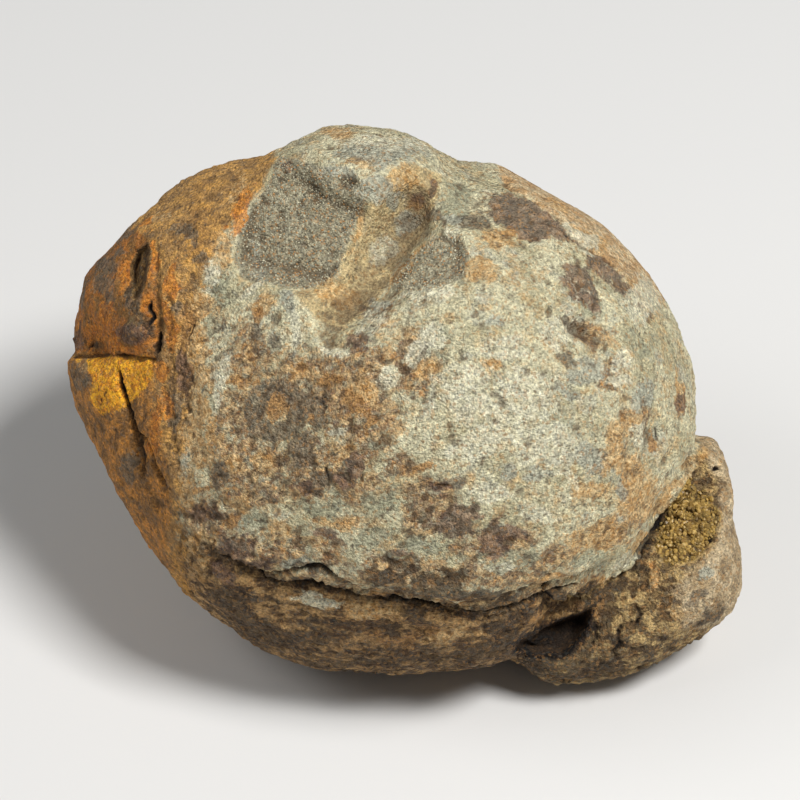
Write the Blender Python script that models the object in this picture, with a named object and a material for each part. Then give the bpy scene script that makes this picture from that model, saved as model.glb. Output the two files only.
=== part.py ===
"""An enrolled fossil trilobite: one worn, iron-stained stone that lies on a small flat belly.

The animal died rolled up, so the stone is a ball of two smooth shields that meet along a seam, with
the thorax folded round the left end and the front margin standing out as a snout at the right.
A break in the upper flank shows the sandy filling and a smooth trough through it.

The stone is drawn as a specimen lies on the bench, display face up: X runs along its length to the
right, Y up the face and Z out of it. It is then leaned back onto its belly, and +Z becomes up.
"""

import math

import bmesh
import bpy
import numpy as np
from mathutils import Matrix, Vector, noise

# ---------------------------------------------------------------------------------- dimensions
# Everything is written in millimetres, and MM turns it into Blender's metres.
MM = 0.001

SHIELD = 24.1  # radius of the display shield, the dome that fills most of the face
DEPTH = 22.5  # how far the dome stands out of the middle of the stone
BLEND = 1.5  # fillet between neighbouring lumps
BROAD = 9.0  # fillet of the smooth body that says which way is out

LEAN_BACK = 45.0  # degrees from the bench pose to the resting pose
BELLY = 1.5  # how much is worn away below, so that the stone rests on flats

ROUNDS = 7  # subdivisions of the sphere that the skin starts from
TRIANGLES = 9600  # what the finished solid keeps of them

# Each lump: where its middle is, its three radii, and how far it is turned in the face.
LUMPS = {
    "dome": ((3.8, -1.9, 0.0), (SHIELD, 23.6, DEPTH), 0),
    "far_shield": ((-2.9, -1.9, -1.5), (24.1, 23.6, 21.5), 0),
    "crest": ((-4.3, 11.7, 2.0), (14.0, 14.0, 16.0), 0),
    "shoulder": ((-14.4, 8.9, -1.0), (15.6, 13.2, 15.0), 32),
    "upper_lobe": ((-23.0, 6.8, -2.5), (7.6, 7.4, 9.5), 0),
    "beak": ((-21.2, -2.1, -2.0), (16.0, 8.0, 11.0), 119),
    "snout": ((24.3, -14.4, -3.6), (11.0, 7.5, 7.6), 70),
    "snout_chin": ((22.0, -18.7, -3.4), (11.5, 6.2, 7.2), 37),
    "snout_foot": ((15.2, -20.9, -2.6), (5.6, 5.5, 6.6), 0),
    "snout_root": ((15.0, -9.0, -8.0), (14.5, 9.0, 11.0), -35),
}

# The shelf: the beak is cut off flat along its top, where the thorax folds.
SHELF_AT = (-27.0, 4.0, 4.0)
SHELF_OUT = (-0.15, 0.86, 0.48)

# The seam between the shields, from the lower left round to the right end of the stone.
SEAM = [
    (-18.4, -13.6), (-15.6, -14.6), (-12.9, -15.6), (-9.2, -16.6), (-5.0, -17.4),
    (-1.4, -17.8), (1.6, -18.5), (5.0, -19.0), (8.8, -18.4), (13.2, -17.2),
    (17.2, -16.7), (20.9, -14.6), (24.0, -10.2), (26.9, -6.4), (28.2, -3.6),
]
SEAM_STEP = 1.1  # the far shield's margin lies this much below the dome's lip
SNOUT_STEP = 2.6  # and the snout this much
SNOUT_FROM = 15.0  # the step deepens from here to the right

# The broken flank: two flats that dip into a trough.
LEFT_FLAT = [
    (-11.0, 21.4), (-12.6, 19.6), (-14.2, 17.2), (-15.3, 14.6), (-15.5, 12.4), (-14.0, 11.2), (-11.4, 10.8),
    (-9.2, 9.7), (-7.6, 8.2), (-3.0, 9.0), (2.0, 17.0), (-2.2, 19.2), (-4.0, 20.6), (-7.0, 21.4),
]
LEFT_FLAT_AT = (-14.7, 12.8, 12.9)
LEFT_FLAT_OUT = (-0.28, 0.44, 0.85)
RIGHT_FLAT = [
    (-2.2, 9.4), (0.6, 10.0), (3.8, 10.2), (6.2, 11.4), (7.0, 13.4), (6.4, 16.0), (3.0, 17.0), (-1.0, 15.0),
]
RIGHT_FLAT_AT = (-0.4, 10.0, 18.5)
RIGHT_FLAT_OUT = (-0.08, 0.55, 0.83)
WALL_SLOPE = 1.2  # how steeply a flat's rim drops to it
# The trough's floor, and how fast its sides curve up from it.
TROUGH = [
    (-6.0, 8.0, 17.3), (-4.4, 9.9, 16.4), (-2.5, 12.4, 15.0), (-0.5, 14.6, 13.5),
    (0.9, 16.2, 12.4), (1.8, 18.2, 12.0), (3.2, 20.8, 10.6),
]
TROUGH_CURVE = 0.20

# The thorax at the left end.
FOLD = [(-32.0, 4.6), (-28.5, 4.4), (-25.4, 4.2), (-22.2, 4.1)]
EYELET = [(-24.2, 14.4), (-24.9, 12.6), (-25.1, 10.8), (-25.4, 9.6)]
HINGE_CRACKS = [
    [(-23.0, 9.4), (-22.7, 7.0), (-22.5, 5.2), (-22.6, 3.2)],
    [(-25.9, 1.8), (-25.5, 0.4), (-24.6, -2.2), (-24.0, -4.2), (-22.5, -6.4), (-21.6, -8.4)],
    [(-24.1, -4.2), (-23.9, -6.2), (-23.2, -8.6), (-21.9, -10.8)],
]
RIB_STRIPS = [
    [(-20.9, 15.0), (-21.8, 10.0), (-21.9, 5.0), (-21.5, 0.0), (-20.4, -5.0), (-18.9, -9.6)],
    [(-18.0, 12.0), (-19.4, 7.0), (-19.6, 2.0), (-18.9, -3.0), (-17.6, -8.0)],
]

# The hidden face carries the thorax's worn ribs and the furrows beside its axis.
RIBS = 7
RIB_PITCH = 3.0
FIRST_RIB = -25.5
RIB_REACH = 17.0
FURROW_OFFSET = 7.5
EYES = [(12.5, 8.6), (12.5, -8.6)]

# Dents and swellings of the display face: place, radius, and depth (negative stands out).
DENTS = [
    ((17.3, 6.6), 1.5, 0.9),
    ((18.4, 5.4), 1.3, 0.7),
    ((23.0, -3.4), 1.2, 0.8),
    ((-8.2, 14.6), 4.0, 0.6),
    ((8.5, 3.0), 7.0, -0.5),
    ((-12.0, -3.0), 3.5, 0.35),
    ((-4.0, 1.5), 3.0, -0.3),
    ((2.6, -9.5), 5.0, 0.3),
    ((26.6, -10.8), 2.6, 1.2),
    ((29.9, -6.0), 0.9, 0.8),
    ((-29.0, 6.0), 1.0, 0.5),
]
POCKET = [(18.4, -19.4), (16.4, -20.6), (14.6, -22.2), (13.2, -23.4)]

STONE_COLOUR = (0.42, 0.36, 0.25, 1.0)
STONE_ROUGHNESS = 0.85


# ---------------------------------------------------------------------------------- the solid
def lump_distance(points, at, radii, turn):
    """How far the points are outside an ellipsoid, in millimetres, negative inside."""
    cos, sin = math.cos(math.radians(turn)), math.sin(math.radians(turn))
    x, y, z = (points - np.array(at)).T
    local = np.stack([x * cos + y * sin, y * cos - x * sin, z], axis=1)
    size = np.array(radii)
    near = np.linalg.norm(local / size, axis=1) + 1e-9
    return near * (near - 1.0) / (np.linalg.norm(local / size**2, axis=1) + 1e-9)


def above_plane(points, at, out):
    """How far the points stand above a plane."""
    normal = np.array(out) / np.linalg.norm(out)
    return (points - np.array(at)) @ normal


def stone_distance(points, blend):
    """How far the points are outside all the lumps, blended into one body."""
    total = None
    for name, (at, radii, turn) in LUMPS.items():
        found = lump_distance(points, at, radii, turn)
        if name == "beak":
            found = np.maximum(found, above_plane(points, SHELF_AT, SHELF_OUT))
        if total is None:
            total = found
            continue
        share = np.clip(0.5 + 0.5 * (found - total) / blend, 0.0, 1.0)
        total = found * (1 - share) + total * share - blend * share * (1 - share)
    return total


def march(start, direction):
    """Walks each point along its direction until it meets the stone."""
    points = start.copy()
    for _ in range(70):
        points = points + direction * np.clip(stone_distance(points, BLEND), -2.0, 6.0)[:, None] * 0.8
    return points


def outward(points):
    """Which way is out, read from the stone with its creases filled."""
    reach = 0.5
    slope = [
        stone_distance(points + reach * axis, BROAD) - stone_distance(points - reach * axis, BROAD)
        for axis in np.eye(3)
    ]
    out = np.stack(slope, axis=1)
    return out / np.linalg.norm(out, axis=1, keepdims=True)


def on_skin(plan, side=1):
    """Drops a route drawn in the face plane onto the stone, from the display side or from the hidden one."""
    plan = np.array(plan, float)
    start = np.column_stack([plan, np.full(len(plan), 45.0 * side)])
    return march(start, np.tile([0.0, 0.0, -1.0 * side], (len(plan), 1)))


def smooth_route(points, steps=6):
    """A Catmull-Rom curve through the points."""
    padded = np.vstack([2 * points[0] - points[1], points, 2 * points[-1] - points[-2]])
    found = []
    for a, b, c, d in zip(padded, padded[1:], padded[2:], padded[3:]):
        for t in np.arange(steps) / steps:
            bend = (2 * a - 5 * b + 4 * c - d) * t**2 + (3 * b - a - 3 * c + d) * t**3
            found.append(0.5 * (2 * b + (c - a) * t + bend))
    return np.vstack([found, points[-1]])


def from_route(points, route):
    """Distance of each point to a route, and how far along it that is, from 0 to 1."""
    best = np.full(len(points), 1e9)
    along = np.zeros(len(points))
    lengths = np.linalg.norm(np.diff(route, axis=0), axis=1)
    ends = np.concatenate([[0.0], np.cumsum(lengths)])
    for i, (a, b) in enumerate(zip(route, route[1:])):
        share = np.clip((points - a) @ (b - a) / ((b - a) @ (b - a) + 1e-12), 0.0, 1.0)
        gap = np.linalg.norm(points - a - share[:, None] * (b - a), axis=1)
        nearer = gap < best
        best[nearer] = gap[nearer]
        along[nearer] = (ends[i] + share[nearer] * lengths[i]) / ends[-1]
    return best, along


def ease(x):
    """0 below 0, 1 above 1, and a smooth rise between."""
    x = np.clip(x, 0.0, 1.0)
    return x * x * (3 - 2 * x)


def inside_outline(plan, outline):
    """How far inside a closed outline each plan point lies, negative outside."""
    corners = np.array(outline, float)
    best = np.full(len(plan), 1e9)
    within = np.zeros(len(plan), bool)
    for a, b in zip(corners, np.roll(corners, -1, axis=0)):
        share = np.clip((plan - a) @ (b - a) / ((b - a) @ (b - a)), 0.0, 1.0)
        best = np.minimum(best, np.linalg.norm(plan - a - share[:, None] * (b - a), axis=1))
        crosses = (a[1] > plan[:, 1]) != (b[1] > plan[:, 1])
        rise = b[1] - a[1] if b[1] != a[1] else 1e-9
        within ^= crosses & (plan[:, 0] < (b[0] - a[0]) * (plan[:, 1] - a[1]) / rise + a[0])
    return np.where(within, best, -best)


# ---------------------------------------------------------------------------------- relief
def groove(points, plan, width, depth, side=1, sharp=True, taper=0.15):
    """Depth of a groove that follows a route, a V if it is sharp and a round trough if it isn't."""
    route = smooth_route(on_skin(plan, side))
    reach = 2.5 * width
    near = np.all((points > route.min(axis=0) - reach) & (points < route.max(axis=0) + reach), axis=1)
    gap, along = from_route(points[near], route)
    profile = ease(1 - gap / width) if sharp else np.exp(-((gap / width) ** 2))
    total = np.zeros(len(points))
    total[near] = depth * profile * ease(along / taper) * ease((1 - along) / taper)
    return total


def dent(points, plan, radius, depth, side=1):
    """Depth of a round dent, or of a swelling if the depth is negative."""
    middle = on_skin([plan], side)[0]
    return depth * np.exp(-((np.linalg.norm(points - middle, axis=1) / radius) ** 2))


def flat(points, outline, at, out):
    """Depth to a broken flat inside its outline, with a sloping rim."""
    reach = inside_outline(points[:, :2], outline)
    height = above_plane(points, at, out)
    return np.where(points[:, 2] > 0, np.clip(np.minimum(height, WALL_SLOPE * reach), 0.0, None), 0.0)


def trough(points):
    """Depth to a round trough whose floor follows its own line through the broken flank."""
    floor = smooth_route(np.array(TROUGH, float))
    flat_floor, flat_points = floor * (1, 1, 0), points * (1, 1, 0)
    gap, along = from_route(flat_points, flat_floor)
    ends = np.concatenate([[0.0], np.cumsum(np.linalg.norm(np.diff(flat_floor, axis=0), axis=1))])
    height = np.interp(along * ends[-1], ends, floor[:, 2]) + TROUGH_CURVE * gap**2
    return np.where(points[:, 2] > 0, np.clip(points[:, 2] - height, 0.0, None), 0.0)


def margin_step(points):
    """The far shield's margin and the snout lie below the dome's lip."""
    apron = SEAM + [(40.0, -3.6), (40.0, -40.0), (-26.0, -40.0), (-20.0, -13.6)]
    reach = inside_outline(points[:, :2], apron)
    x = points[:, 0]
    step = SEAM_STEP * ease((x + 18.0) / 8.0) + (SNOUT_STEP - SEAM_STEP) * ease((x - SNOUT_FROM) / 5.0)
    fade = 1 - ease((reach - 3.0) / 5.0)
    return np.where(points[:, 2] > -2.0, step * ease(0.5 + reach / 1.4) * fade, 0.0)


def hidden_face(points):
    """Worn ribs across the thorax, the two furrows that part its three lobes, and a pair of eye swellings."""
    total = np.zeros(len(points))
    for i in range(RIBS):
        x = FIRST_RIB + RIB_PITCH * i
        bow = 0.012 * (1 + i / RIBS)
        across = np.linspace(-RIB_REACH, RIB_REACH, 9)
        total += groove(points, [(x + bow * y * y, y) for y in across], 0.9, 0.55, side=-1)
    for y in (-FURROW_OFFSET, FURROW_OFFSET):
        furrow = [(x, y * (1 - 0.0015 * (x + 4) ** 2)) for x in range(-22, 19, 4)]
        total += groove(points, furrow, 1.6, 0.8, -1, False)
    total += groove(points, [(0.5, -9.0), (-1.2, 0.0), (0.5, 9.0)], 1.4, 0.7, -1, False)
    for eye in EYES:
        total += dent(points, eye, 3.0, -1.1, side=-1)
    return total


def undulation(points):
    """Gentle unevenness of a worn stone."""
    total = np.zeros(len(points))
    for size, height in ((7.0, 0.45), (3.2, 0.22), (1.5, 0.09)):
        total += [height * noise.noise(Vector(p) / size) for p in points.tolist()]
    return total


def relief(points):
    """How far each point of the blocked-out stone goes in, in millimetres."""
    total = margin_step(points)
    left = flat(points, LEFT_FLAT, LEFT_FLAT_AT, LEFT_FLAT_OUT)
    right = flat(points, RIGHT_FLAT, RIGHT_FLAT_AT, RIGHT_FLAT_OUT)
    total += np.maximum(np.maximum(left, right), trough(points))
    total += groove(points, SEAM, 1.5, 1.0)
    total += groove(points, POCKET, 2.6, 3.6, sharp=False, taper=0.3)
    total += groove(points, FOLD, 1.5, 1.0, taper=0.02)
    total += groove(points, EYELET, 1.6, 1.6)
    for crack in HINGE_CRACKS:
        total += groove(points, crack, 1.3, 0.8)
    for strip in RIB_STRIPS:
        total += groove(points, strip, 0.9, 0.35, sharp=False)
    for place, radius, depth in DENTS:
        total += dent(points, place, radius, depth)
    return total + hidden_face(points) + undulation(points)


# ---------------------------------------------------------------------------------- building
def sphere_mesh():
    """An even sphere of radius 1, whose points are the directions that the skin is found along."""
    work = bmesh.new()
    bmesh.ops.create_icosphere(work, subdivisions=ROUNDS, radius=1.0)
    mesh = bpy.data.meshes.new("fossil")
    work.to_mesh(mesh)
    work.free()
    return mesh


def skin_points(mesh):
    """The stone's skin, one point for each direction of the sphere."""
    directions = np.empty(len(mesh.vertices) * 3)
    mesh.vertices.foreach_get("co", directions)
    directions = directions.reshape(-1, 3)
    blocked = march(directions * 45.0, -directions)
    return blocked - outward(blocked) * relief(blocked)[:, None]


def wear_belly(mesh, worn):
    """Cuts the stone off flat this far above its lowest point and closes the cut with one face."""
    height = min(v.co.z for v in mesh.vertices) + worn
    work = bmesh.new()
    work.from_mesh(mesh)
    everything = work.verts[:] + work.edges[:] + work.faces[:]
    plane = {"plane_co": (0, 0, height), "plane_no": (0, 0, 1)}
    cut = bmesh.ops.bisect_plane(work, geom=everything, dist=1e-7, clear_inner=True, **plane)
    rim = [e for e in cut["geom_cut"] if isinstance(e, bmesh.types.BMEdge)]
    bmesh.ops.holes_fill(work, edges=rim, sides=0)
    bmesh.ops.recalc_face_normals(work, faces=work.faces[:])
    work.to_mesh(mesh)
    work.free()


def keep_main_detail(obj, triangles):
    """Takes the dense skin down to its limit, where it is flattest first."""
    thin = obj.modifiers.new("keep main detail", "DECIMATE")
    thin.ratio = triangles / len(obj.data.polygons)
    graph = bpy.context.evaluated_depsgraph_get()
    obj.data = bpy.data.meshes.new_from_object(obj.evaluated_get(graph))
    obj.modifiers.clear()


def stone_material():
    material = bpy.data.materials.new("worn ironstone")
    material.use_nodes = True
    shader = material.node_tree.nodes["Principled BSDF"]
    shader.inputs["Base Color"].default_value = STONE_COLOUR
    shader.inputs["Roughness"].default_value = STONE_ROUGHNESS
    shader.inputs["Metallic"].default_value = 0.0
    return material


def stand_on_origin(mesh):
    """Puts the middle of the stone's base at the origin, and says where the bench frame's middle went."""
    corners = np.array([v.co for v in mesh.vertices])
    low, high = corners.min(axis=0), corners.max(axis=0)
    shift = Vector((-(low[0] + high[0]) / 2, -(low[1] + high[1]) / 2, -low[2]))
    mesh.transform(Matrix.Translation(shift))
    print("size, mm:", np.round((high - low) / MM, 2))
    print("bench middle, mm:", [round(c / MM, 3) for c in shift])


def finish(mesh):
    """Gives the solid its stone, smooth but for its sharp edges."""
    mesh.materials.append(stone_material())
    mesh.shade_smooth()
    mesh.set_sharp_from_angle(angle=math.radians(50))
    belly = max(mesh.polygons, key=lambda face: face.area)
    print("belly at, mm:", [round(c / MM, 2) for c in belly.center], "of", len(mesh.polygons), "faces")


def main():
    for obj in list(bpy.data.objects):
        bpy.data.objects.remove(obj)
    mesh = sphere_mesh()
    mesh.vertices.foreach_set("co", (skin_points(mesh) * MM).ravel())
    mesh.transform(Matrix.Rotation(math.radians(LEAN_BACK), 4, "X"))
    fossil = bpy.data.objects.new("fossil", mesh)
    bpy.context.scene.collection.objects.link(fossil)
    keep_main_detail(fossil, TRIANGLES)
    wear_belly(fossil.data, BELLY * MM)
    stand_on_origin(fossil.data)
    finish(fossil.data)


main()
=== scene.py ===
# %% [markdown]
# # An enrolled fossil trilobite
#
# The stone is a trilobite that died rolled up and turned to stone: a smooth dome over a far shield, with
# a broken flank at the top left, a folded end at the left and a snout at the right. The packed solid
# already has these forms, so it is loaded first, and everything below is worked into a copy of it.

# %% Load the frame
import math

import bmesh
import bpy
import numpy as np
from mathutils import Matrix, Vector
from mathutils.bvhtree import BVHTree
from mathutils.noise import seed_set, turbulence_vector


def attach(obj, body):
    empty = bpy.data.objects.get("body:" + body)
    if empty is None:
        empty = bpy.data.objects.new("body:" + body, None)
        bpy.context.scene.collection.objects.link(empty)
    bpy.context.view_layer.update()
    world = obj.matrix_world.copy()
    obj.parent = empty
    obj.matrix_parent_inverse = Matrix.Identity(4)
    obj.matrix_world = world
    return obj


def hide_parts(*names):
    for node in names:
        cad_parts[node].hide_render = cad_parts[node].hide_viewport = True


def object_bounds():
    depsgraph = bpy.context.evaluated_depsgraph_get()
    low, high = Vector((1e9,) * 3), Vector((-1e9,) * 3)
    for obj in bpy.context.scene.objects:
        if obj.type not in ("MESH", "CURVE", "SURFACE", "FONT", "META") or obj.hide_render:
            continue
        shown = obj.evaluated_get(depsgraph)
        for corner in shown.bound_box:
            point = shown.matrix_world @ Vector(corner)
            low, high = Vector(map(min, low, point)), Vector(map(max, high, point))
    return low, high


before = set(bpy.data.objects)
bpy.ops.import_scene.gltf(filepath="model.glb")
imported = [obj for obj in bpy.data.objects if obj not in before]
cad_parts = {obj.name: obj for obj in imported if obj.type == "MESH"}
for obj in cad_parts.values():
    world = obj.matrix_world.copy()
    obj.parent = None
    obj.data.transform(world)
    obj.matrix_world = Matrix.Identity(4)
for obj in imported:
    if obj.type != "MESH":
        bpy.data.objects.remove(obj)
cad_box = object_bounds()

MM = 0.001
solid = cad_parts["fossil"]
box_mm = [tuple(round(length / MM, 1) for length in corner) for corner in cad_box]
print("solid:", len(solid.data.polygons), "faces, box", box_mm)

# %% [markdown]
# ## A bench to measure from
#
# The stone lies on a worn flat of its belly, so its show face looks half up and half at the viewer. Places
# on a tilted face are awkward to give in the world's axes. A preparator would lay the stone face up on the
# bench and measure from there, so the script does too: u to the right, v up the face and w out of it, in
# millimetres.

# %% The bench
LEAN = math.radians(45.0)
# Where the bench's zero lies in the frame.
BENCH_MIDDLE = np.array((-0.419, 1.042, 23.587)) * MM
TURN = np.array(Matrix.Rotation(LEAN, 3, "X"))


def to_row(points):
    """Bench millimetres to the frame's metres."""
    return np.asarray(points, float) @ TURN.T * MM + BENCH_MIDDLE


def to_bench(points):
    """The frame's metres to bench millimetres."""
    return (np.asarray(points, float) - BENCH_MIDDLE) @ TURN / MM


print("show face looks along", np.round(TURN[:, 2], 3))

# %% [markdown]
# ## Camera
#
# A long lens close up, as collectors use for small stones: it looks straight at the show face from 315 mm.

# %% Camera
CAMERA_DISTANCE = 315.0

camera = bpy.data.objects.new("camera", bpy.data.cameras.new("camera"))
bpy.context.scene.collection.objects.link(camera)
camera.data.lens = 150.0
camera.data.sensor_width = 36.0
camera.location = to_row((0.0, 0.0, CAMERA_DISTANCE))
camera.rotation_euler = (LEAN, 0.0, 0.0)
bpy.context.scene.camera = camera
bpy.context.scene.view_settings.view_transform = "Standard"
print("camera at", np.round(camera.location, 3))

# %% [markdown]
# ## Routes and outlines
#
# Everything on the show face is placed by its spot (u, v) on the bench. A route is a line of spots, as a
# crack would be drawn with a pencil, and an outline is a closed ring of spots. They could be traced as
# curves, but a short list of spots is easier to read and to correct. These are the cracks and edges, from
# the big to the small.

# %% Routes: the seam between the shields, and the dome's lip over the snout
SEAM = [
    (-17.9, -13.4), (-17.0, -14.0), (-15.7, -14.3), (-14.9, -14.7), (-13.8, -15.3), (-12.8, -15.8),
    (-11.6, -16.5), (-10.5, -16.7), (-7.9, -16.8), (-6.0, -17.1), (-4.3, -17.7), (-2.4, -18.1),
    (-0.1, -18.1), (1.6, -18.3), (3.3, -18.7), (4.9, -19.1), (7.1, -19.3), (9.0, -19.0), (11.0, -18.5),
    (13.3, -18.0), (16.0, -18.1), (18.0, -17.1),
]
LIP = [
    (13.3, -18.0), (16.0, -18.2), (18.0, -17.3), (19.5, -16.8), (20.5, -16.4), (21.7, -15.8), (22.5, -15.0),
    (23.0, -14.1), (23.9, -13.0), (24.5, -11.7), (25.2, -10.7), (26.1, -9.7), (27.1, -8.7), (27.8, -7.5),
    (28.1, -5.9),
]
LIP_GAP = [(27.6, -7.3), (26.0, -9.9), (24.5, -12.0), (23.5, -13.1), (22.2, -14.6), (21.6, -15.6)]
# Where flakes broke off the dome's edge above the seam, and shallow dents there.
ARCHES = [
    [
        (-13.6, -15.0), (-11.8, -15.5), (-9.7, -15.3), (-8.5, -14.9), (-7.3, -14.6), (-6.3, -15.2),
        (-4.9, -16.3), (-3.6, -17.2),
    ],
    [(9.1, -19.2), (10.9, -18.6), (12.6, -17.6), (14.6, -17.0), (16.6, -16.6)],
    [(12.8, -17.8), (13.0, -16.8), (13.7, -16.0)],
]
RECESSES = [
    [(2.7, -14.9), (3.6, -15.3), (4.9, -15.8), (6.2, -16.5)],
    [(-2.9, -14.3), (-1.3, -14.4), (0.0, -14.7), (2.4, -15.0)],
]
print("seam:", len(SEAM), "spots, lip:", len(LIP), "spots")

# %% Routes: the snout
LOW_LEDGE = [(18.2, -18.4), (16.4, -19.6), (14.8, -20.6), (13.0, -21.6), (11.8, -23.0), (11.2, -24.6)]
# A splinter of rock that stands up in the gap under the lip.
SPLINTER = [(24.0, -16.2), (23.7, -17.5)]
SNOUT_CRACKS = [
    [(20.5, -20.2), (20.6, -21.6), (20.3, -23.4), (20.0, -24.8)],
    [(22.0, -18.6), (22.4, -20.0), (22.2, -21.6)],
    [(18.6, -20.4), (18.2, -22.0), (18.4, -23.6)],
]
print("snout:", len(SNOUT_CRACKS), "cracks, a ledge and a splinter")

# %% Routes: the folded end
# The upper lobe lies over the beak along the fold, and both end at the hinge. Each is open for a part of
# its way.
FOLD = [(-32.0, 4.0), (-30.9, 4.0), (-29.6, 4.3), (-27.6, 4.4), (-25.6, 4.2), (-23.9, 4.0), (-22.2, 3.9)]
FOLD_GAP = [(-27.6, 4.4), (-25.6, 4.2), (-23.9, 4.1)]
HINGE = [
    (-22.5, 14.7), (-22.3, 12.6), (-22.3, 10.5), (-22.1, 8.2), (-22.1, 6.4), (-22.1, 5.0), (-22.4, 3.4),
]
HINGE_SLOT = [(-22.1, 6.6), (-22.1, 5.3), (-22.3, 4.0)]
# A row of small teeth beside the hinge.
TOOTH_LINE = [(-22.6, 9.4), (-22.9, 8.4), (-22.6, 7.6), (-22.9, 6.8), (-22.5, 6.2)]
BEAK_CRACK = [
    (-26.2, 3.4), (-26.0, 2.6), (-25.7, 1.2), (-25.2, 0.0), (-24.7, -1.4), (-24.1, -2.9), (-23.0, -4.1),
    (-22.5, -5.7), (-21.7, -7.3), (-21.0, -8.6),
]
BEAK_BRANCH = [(-24.6, -1.8), (-24.0, -3.6), (-23.8, -5.0), (-23.8, -6.2), (-23.6, -7.6)]
# Faint strips along the folded end, which are all that is left of the ribs there.
STRIPS = [
    [(-21.2, 13.5), (-21.0, 9.0), (-20.9, 5.0), (-21.0, 1.0), (-20.6, -3.0), (-19.8, -7.0)],
    [(-19.6, 11.0), (-19.4, 8.0), (-19.7, 5.0), (-19.4, 1.0), (-19.2, -2.4), (-18.6, -6.0)],
]
# The eyelet is an open, lens-shaped hole beside the hinge.
EYELET = [
    (-23.2, 14.6), (-24.2, 13.8), (-24.9, 12.5), (-24.9, 11.4), (-24.6, 10.4), (-24.7, 9.3), (-24.2, 9.0),
    (-23.5, 9.8), (-23.1, 11.0), (-22.9, 12.2), (-22.8, 13.7),
]
print("folded end:", len(STRIPS), "strips, the beak's crack has", len(BEAK_CRACK), "spots")

# %% Routes: the dome and its flank
# The edge along which the dome's outer skin has peeled off.
PEEL = [
    (9.2, 20.8), (10.3, 19.5), (11.4, 18.9), (12.4, 18.3), (13.3, 17.5), (14.4, 16.8), (14.8, 15.8),
    (15.7, 14.8), (16.8, 13.9), (18.8, 12.8), (20.3, 11.4),
]
FINE_CRACKS = [
    [(-7.0, 1.5), (-6.8, 0.0), (-6.4, -1.6)],
    [(-6.8, -5.4), (-6.6, -5.9), (-6.1, -7.5)],
    [(23.0, -1.6), (23.4, -3.2), (23.7, -4.6)],
    [(-26.9, 1.4), (-27.5, 0.2), (-27.9, -0.8)],
    [(-19.0, 8.0), (-18.6, 6.8), (-19.1, 5.6), (-18.8, 4.5)],
    [(26.0, -11.2), (26.6, -12.4), (26.2, -13.6)],
]
# Curved lines below the lower tip of the trough.
TIP_LINES = [
    [(-8.4, 8.4), (-7.2, 7.0), (-5.7, 6.3), (-4.2, 6.5), (-2.9, 7.4), (-1.9, 8.6)],
    [(-7.3, 8.5), (-6.4, 7.5), (-5.4, 7.0), (-4.2, 7.4), (-3.2, 8.4)],
    [(-6.6, 9.4), (-5.6, 8.3), (-4.3, 8.3), (-3.5, 9.2)],
]
DIMPLES = [[(14.0, 8.1), (15.1, 7.1), (16.4, 6.1), (17.6, 5.2)], [(-5.9, 20.3), (-4.9, 19.9), (-3.8, 19.3)]]
HOLES = [
    [(30.0, -6.2), (30.2, -6.7)],
    [(29.5, -12.7), (29.2, -13.4)],
    [(27.5, -10.0), (27.6, -10.4)],
    [(-29.0, 5.4), (-28.9, 4.8)],
]
CRACKS = [
    SEAM, LIP, *ARCHES, LOW_LEDGE, FOLD, HINGE, BEAK_CRACK, BEAK_BRANCH, *FINE_CRACKS, PEEL, TOOTH_LINE,
    *SNOUT_CRACKS, EYELET,
]
print("cracks that need a fine skin:", len(CRACKS))

# %% [markdown]
# ## The blank
#
# Cracks and grain need a fine, even skin, and the solid's triangles are coarse where it is flat. Sculptors
# solve this with a voxel remesh, which recasts any shape as a grid of small quads. A light smoothing then
# melts the old facets away. Only the show side needs the finest skin, so its faces are split once more
# there, and again along the cracks.


# %% Helpers: read and write a mesh
def bake_modifiers(obj):
    """Turns what the modifiers make into the object's own mesh."""
    graph = bpy.context.evaluated_depsgraph_get()
    mesh = bpy.data.meshes.new_from_object(obj.evaluated_get(graph))
    obj.modifiers.clear()
    obj.data = mesh
    return mesh


def places_of(mesh):
    values = np.empty(len(mesh.vertices) * 3, np.float32)
    mesh.vertices.foreach_get("co", values)
    return values.reshape(-1, 3).astype(float)


def normals_of(mesh):
    values = np.empty(len(mesh.vertices) * 3, np.float32)
    mesh.vertex_normals.foreach_get("vector", values)
    return values.reshape(-1, 3).astype(float)


def move_to(mesh, places):
    mesh.vertices.foreach_set("co", places.astype(np.float32).ravel())
    mesh.update()


def keep(mesh, name, values):
    """Stores a number, or a vector, for each point, for node trees to read."""
    kind, slot = ("FLOAT", "value") if np.ndim(values) == 1 else ("FLOAT_VECTOR", "vector")
    layer = mesh.attributes.get(name) or mesh.attributes.new(name, kind, "POINT")
    layer.data.foreach_set(slot, np.asarray(values, np.float32).ravel())


def triangles(mesh):
    return sum(len(face.vertices) - 2 for face in mesh.polygons)


print("the solid has", triangles(solid.data), "triangles")


# %% Helpers: measure on the bench
def ease(x):
    """0 below 0, 1 above 1, and a smooth rise between."""
    x = np.clip(x, 0.0, 1.0)
    return x * x * (3 - 2 * x)


def line_distance(plan, a, b):
    """How far each spot lies from the straight line between two spots."""
    share = np.clip((plan - a) @ (b - a) / ((b - a) @ (b - a) + 1e-12), 0.0, 1.0)
    return np.linalg.norm(plan - a - share[:, None] * (b - a), axis=1)


def route_distance(plan, route):
    """How far each spot lies from a route."""
    spots = np.array(route, float)
    return np.min([line_distance(plan, a, b) for a, b in zip(spots, spots[1:])], axis=0)


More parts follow.
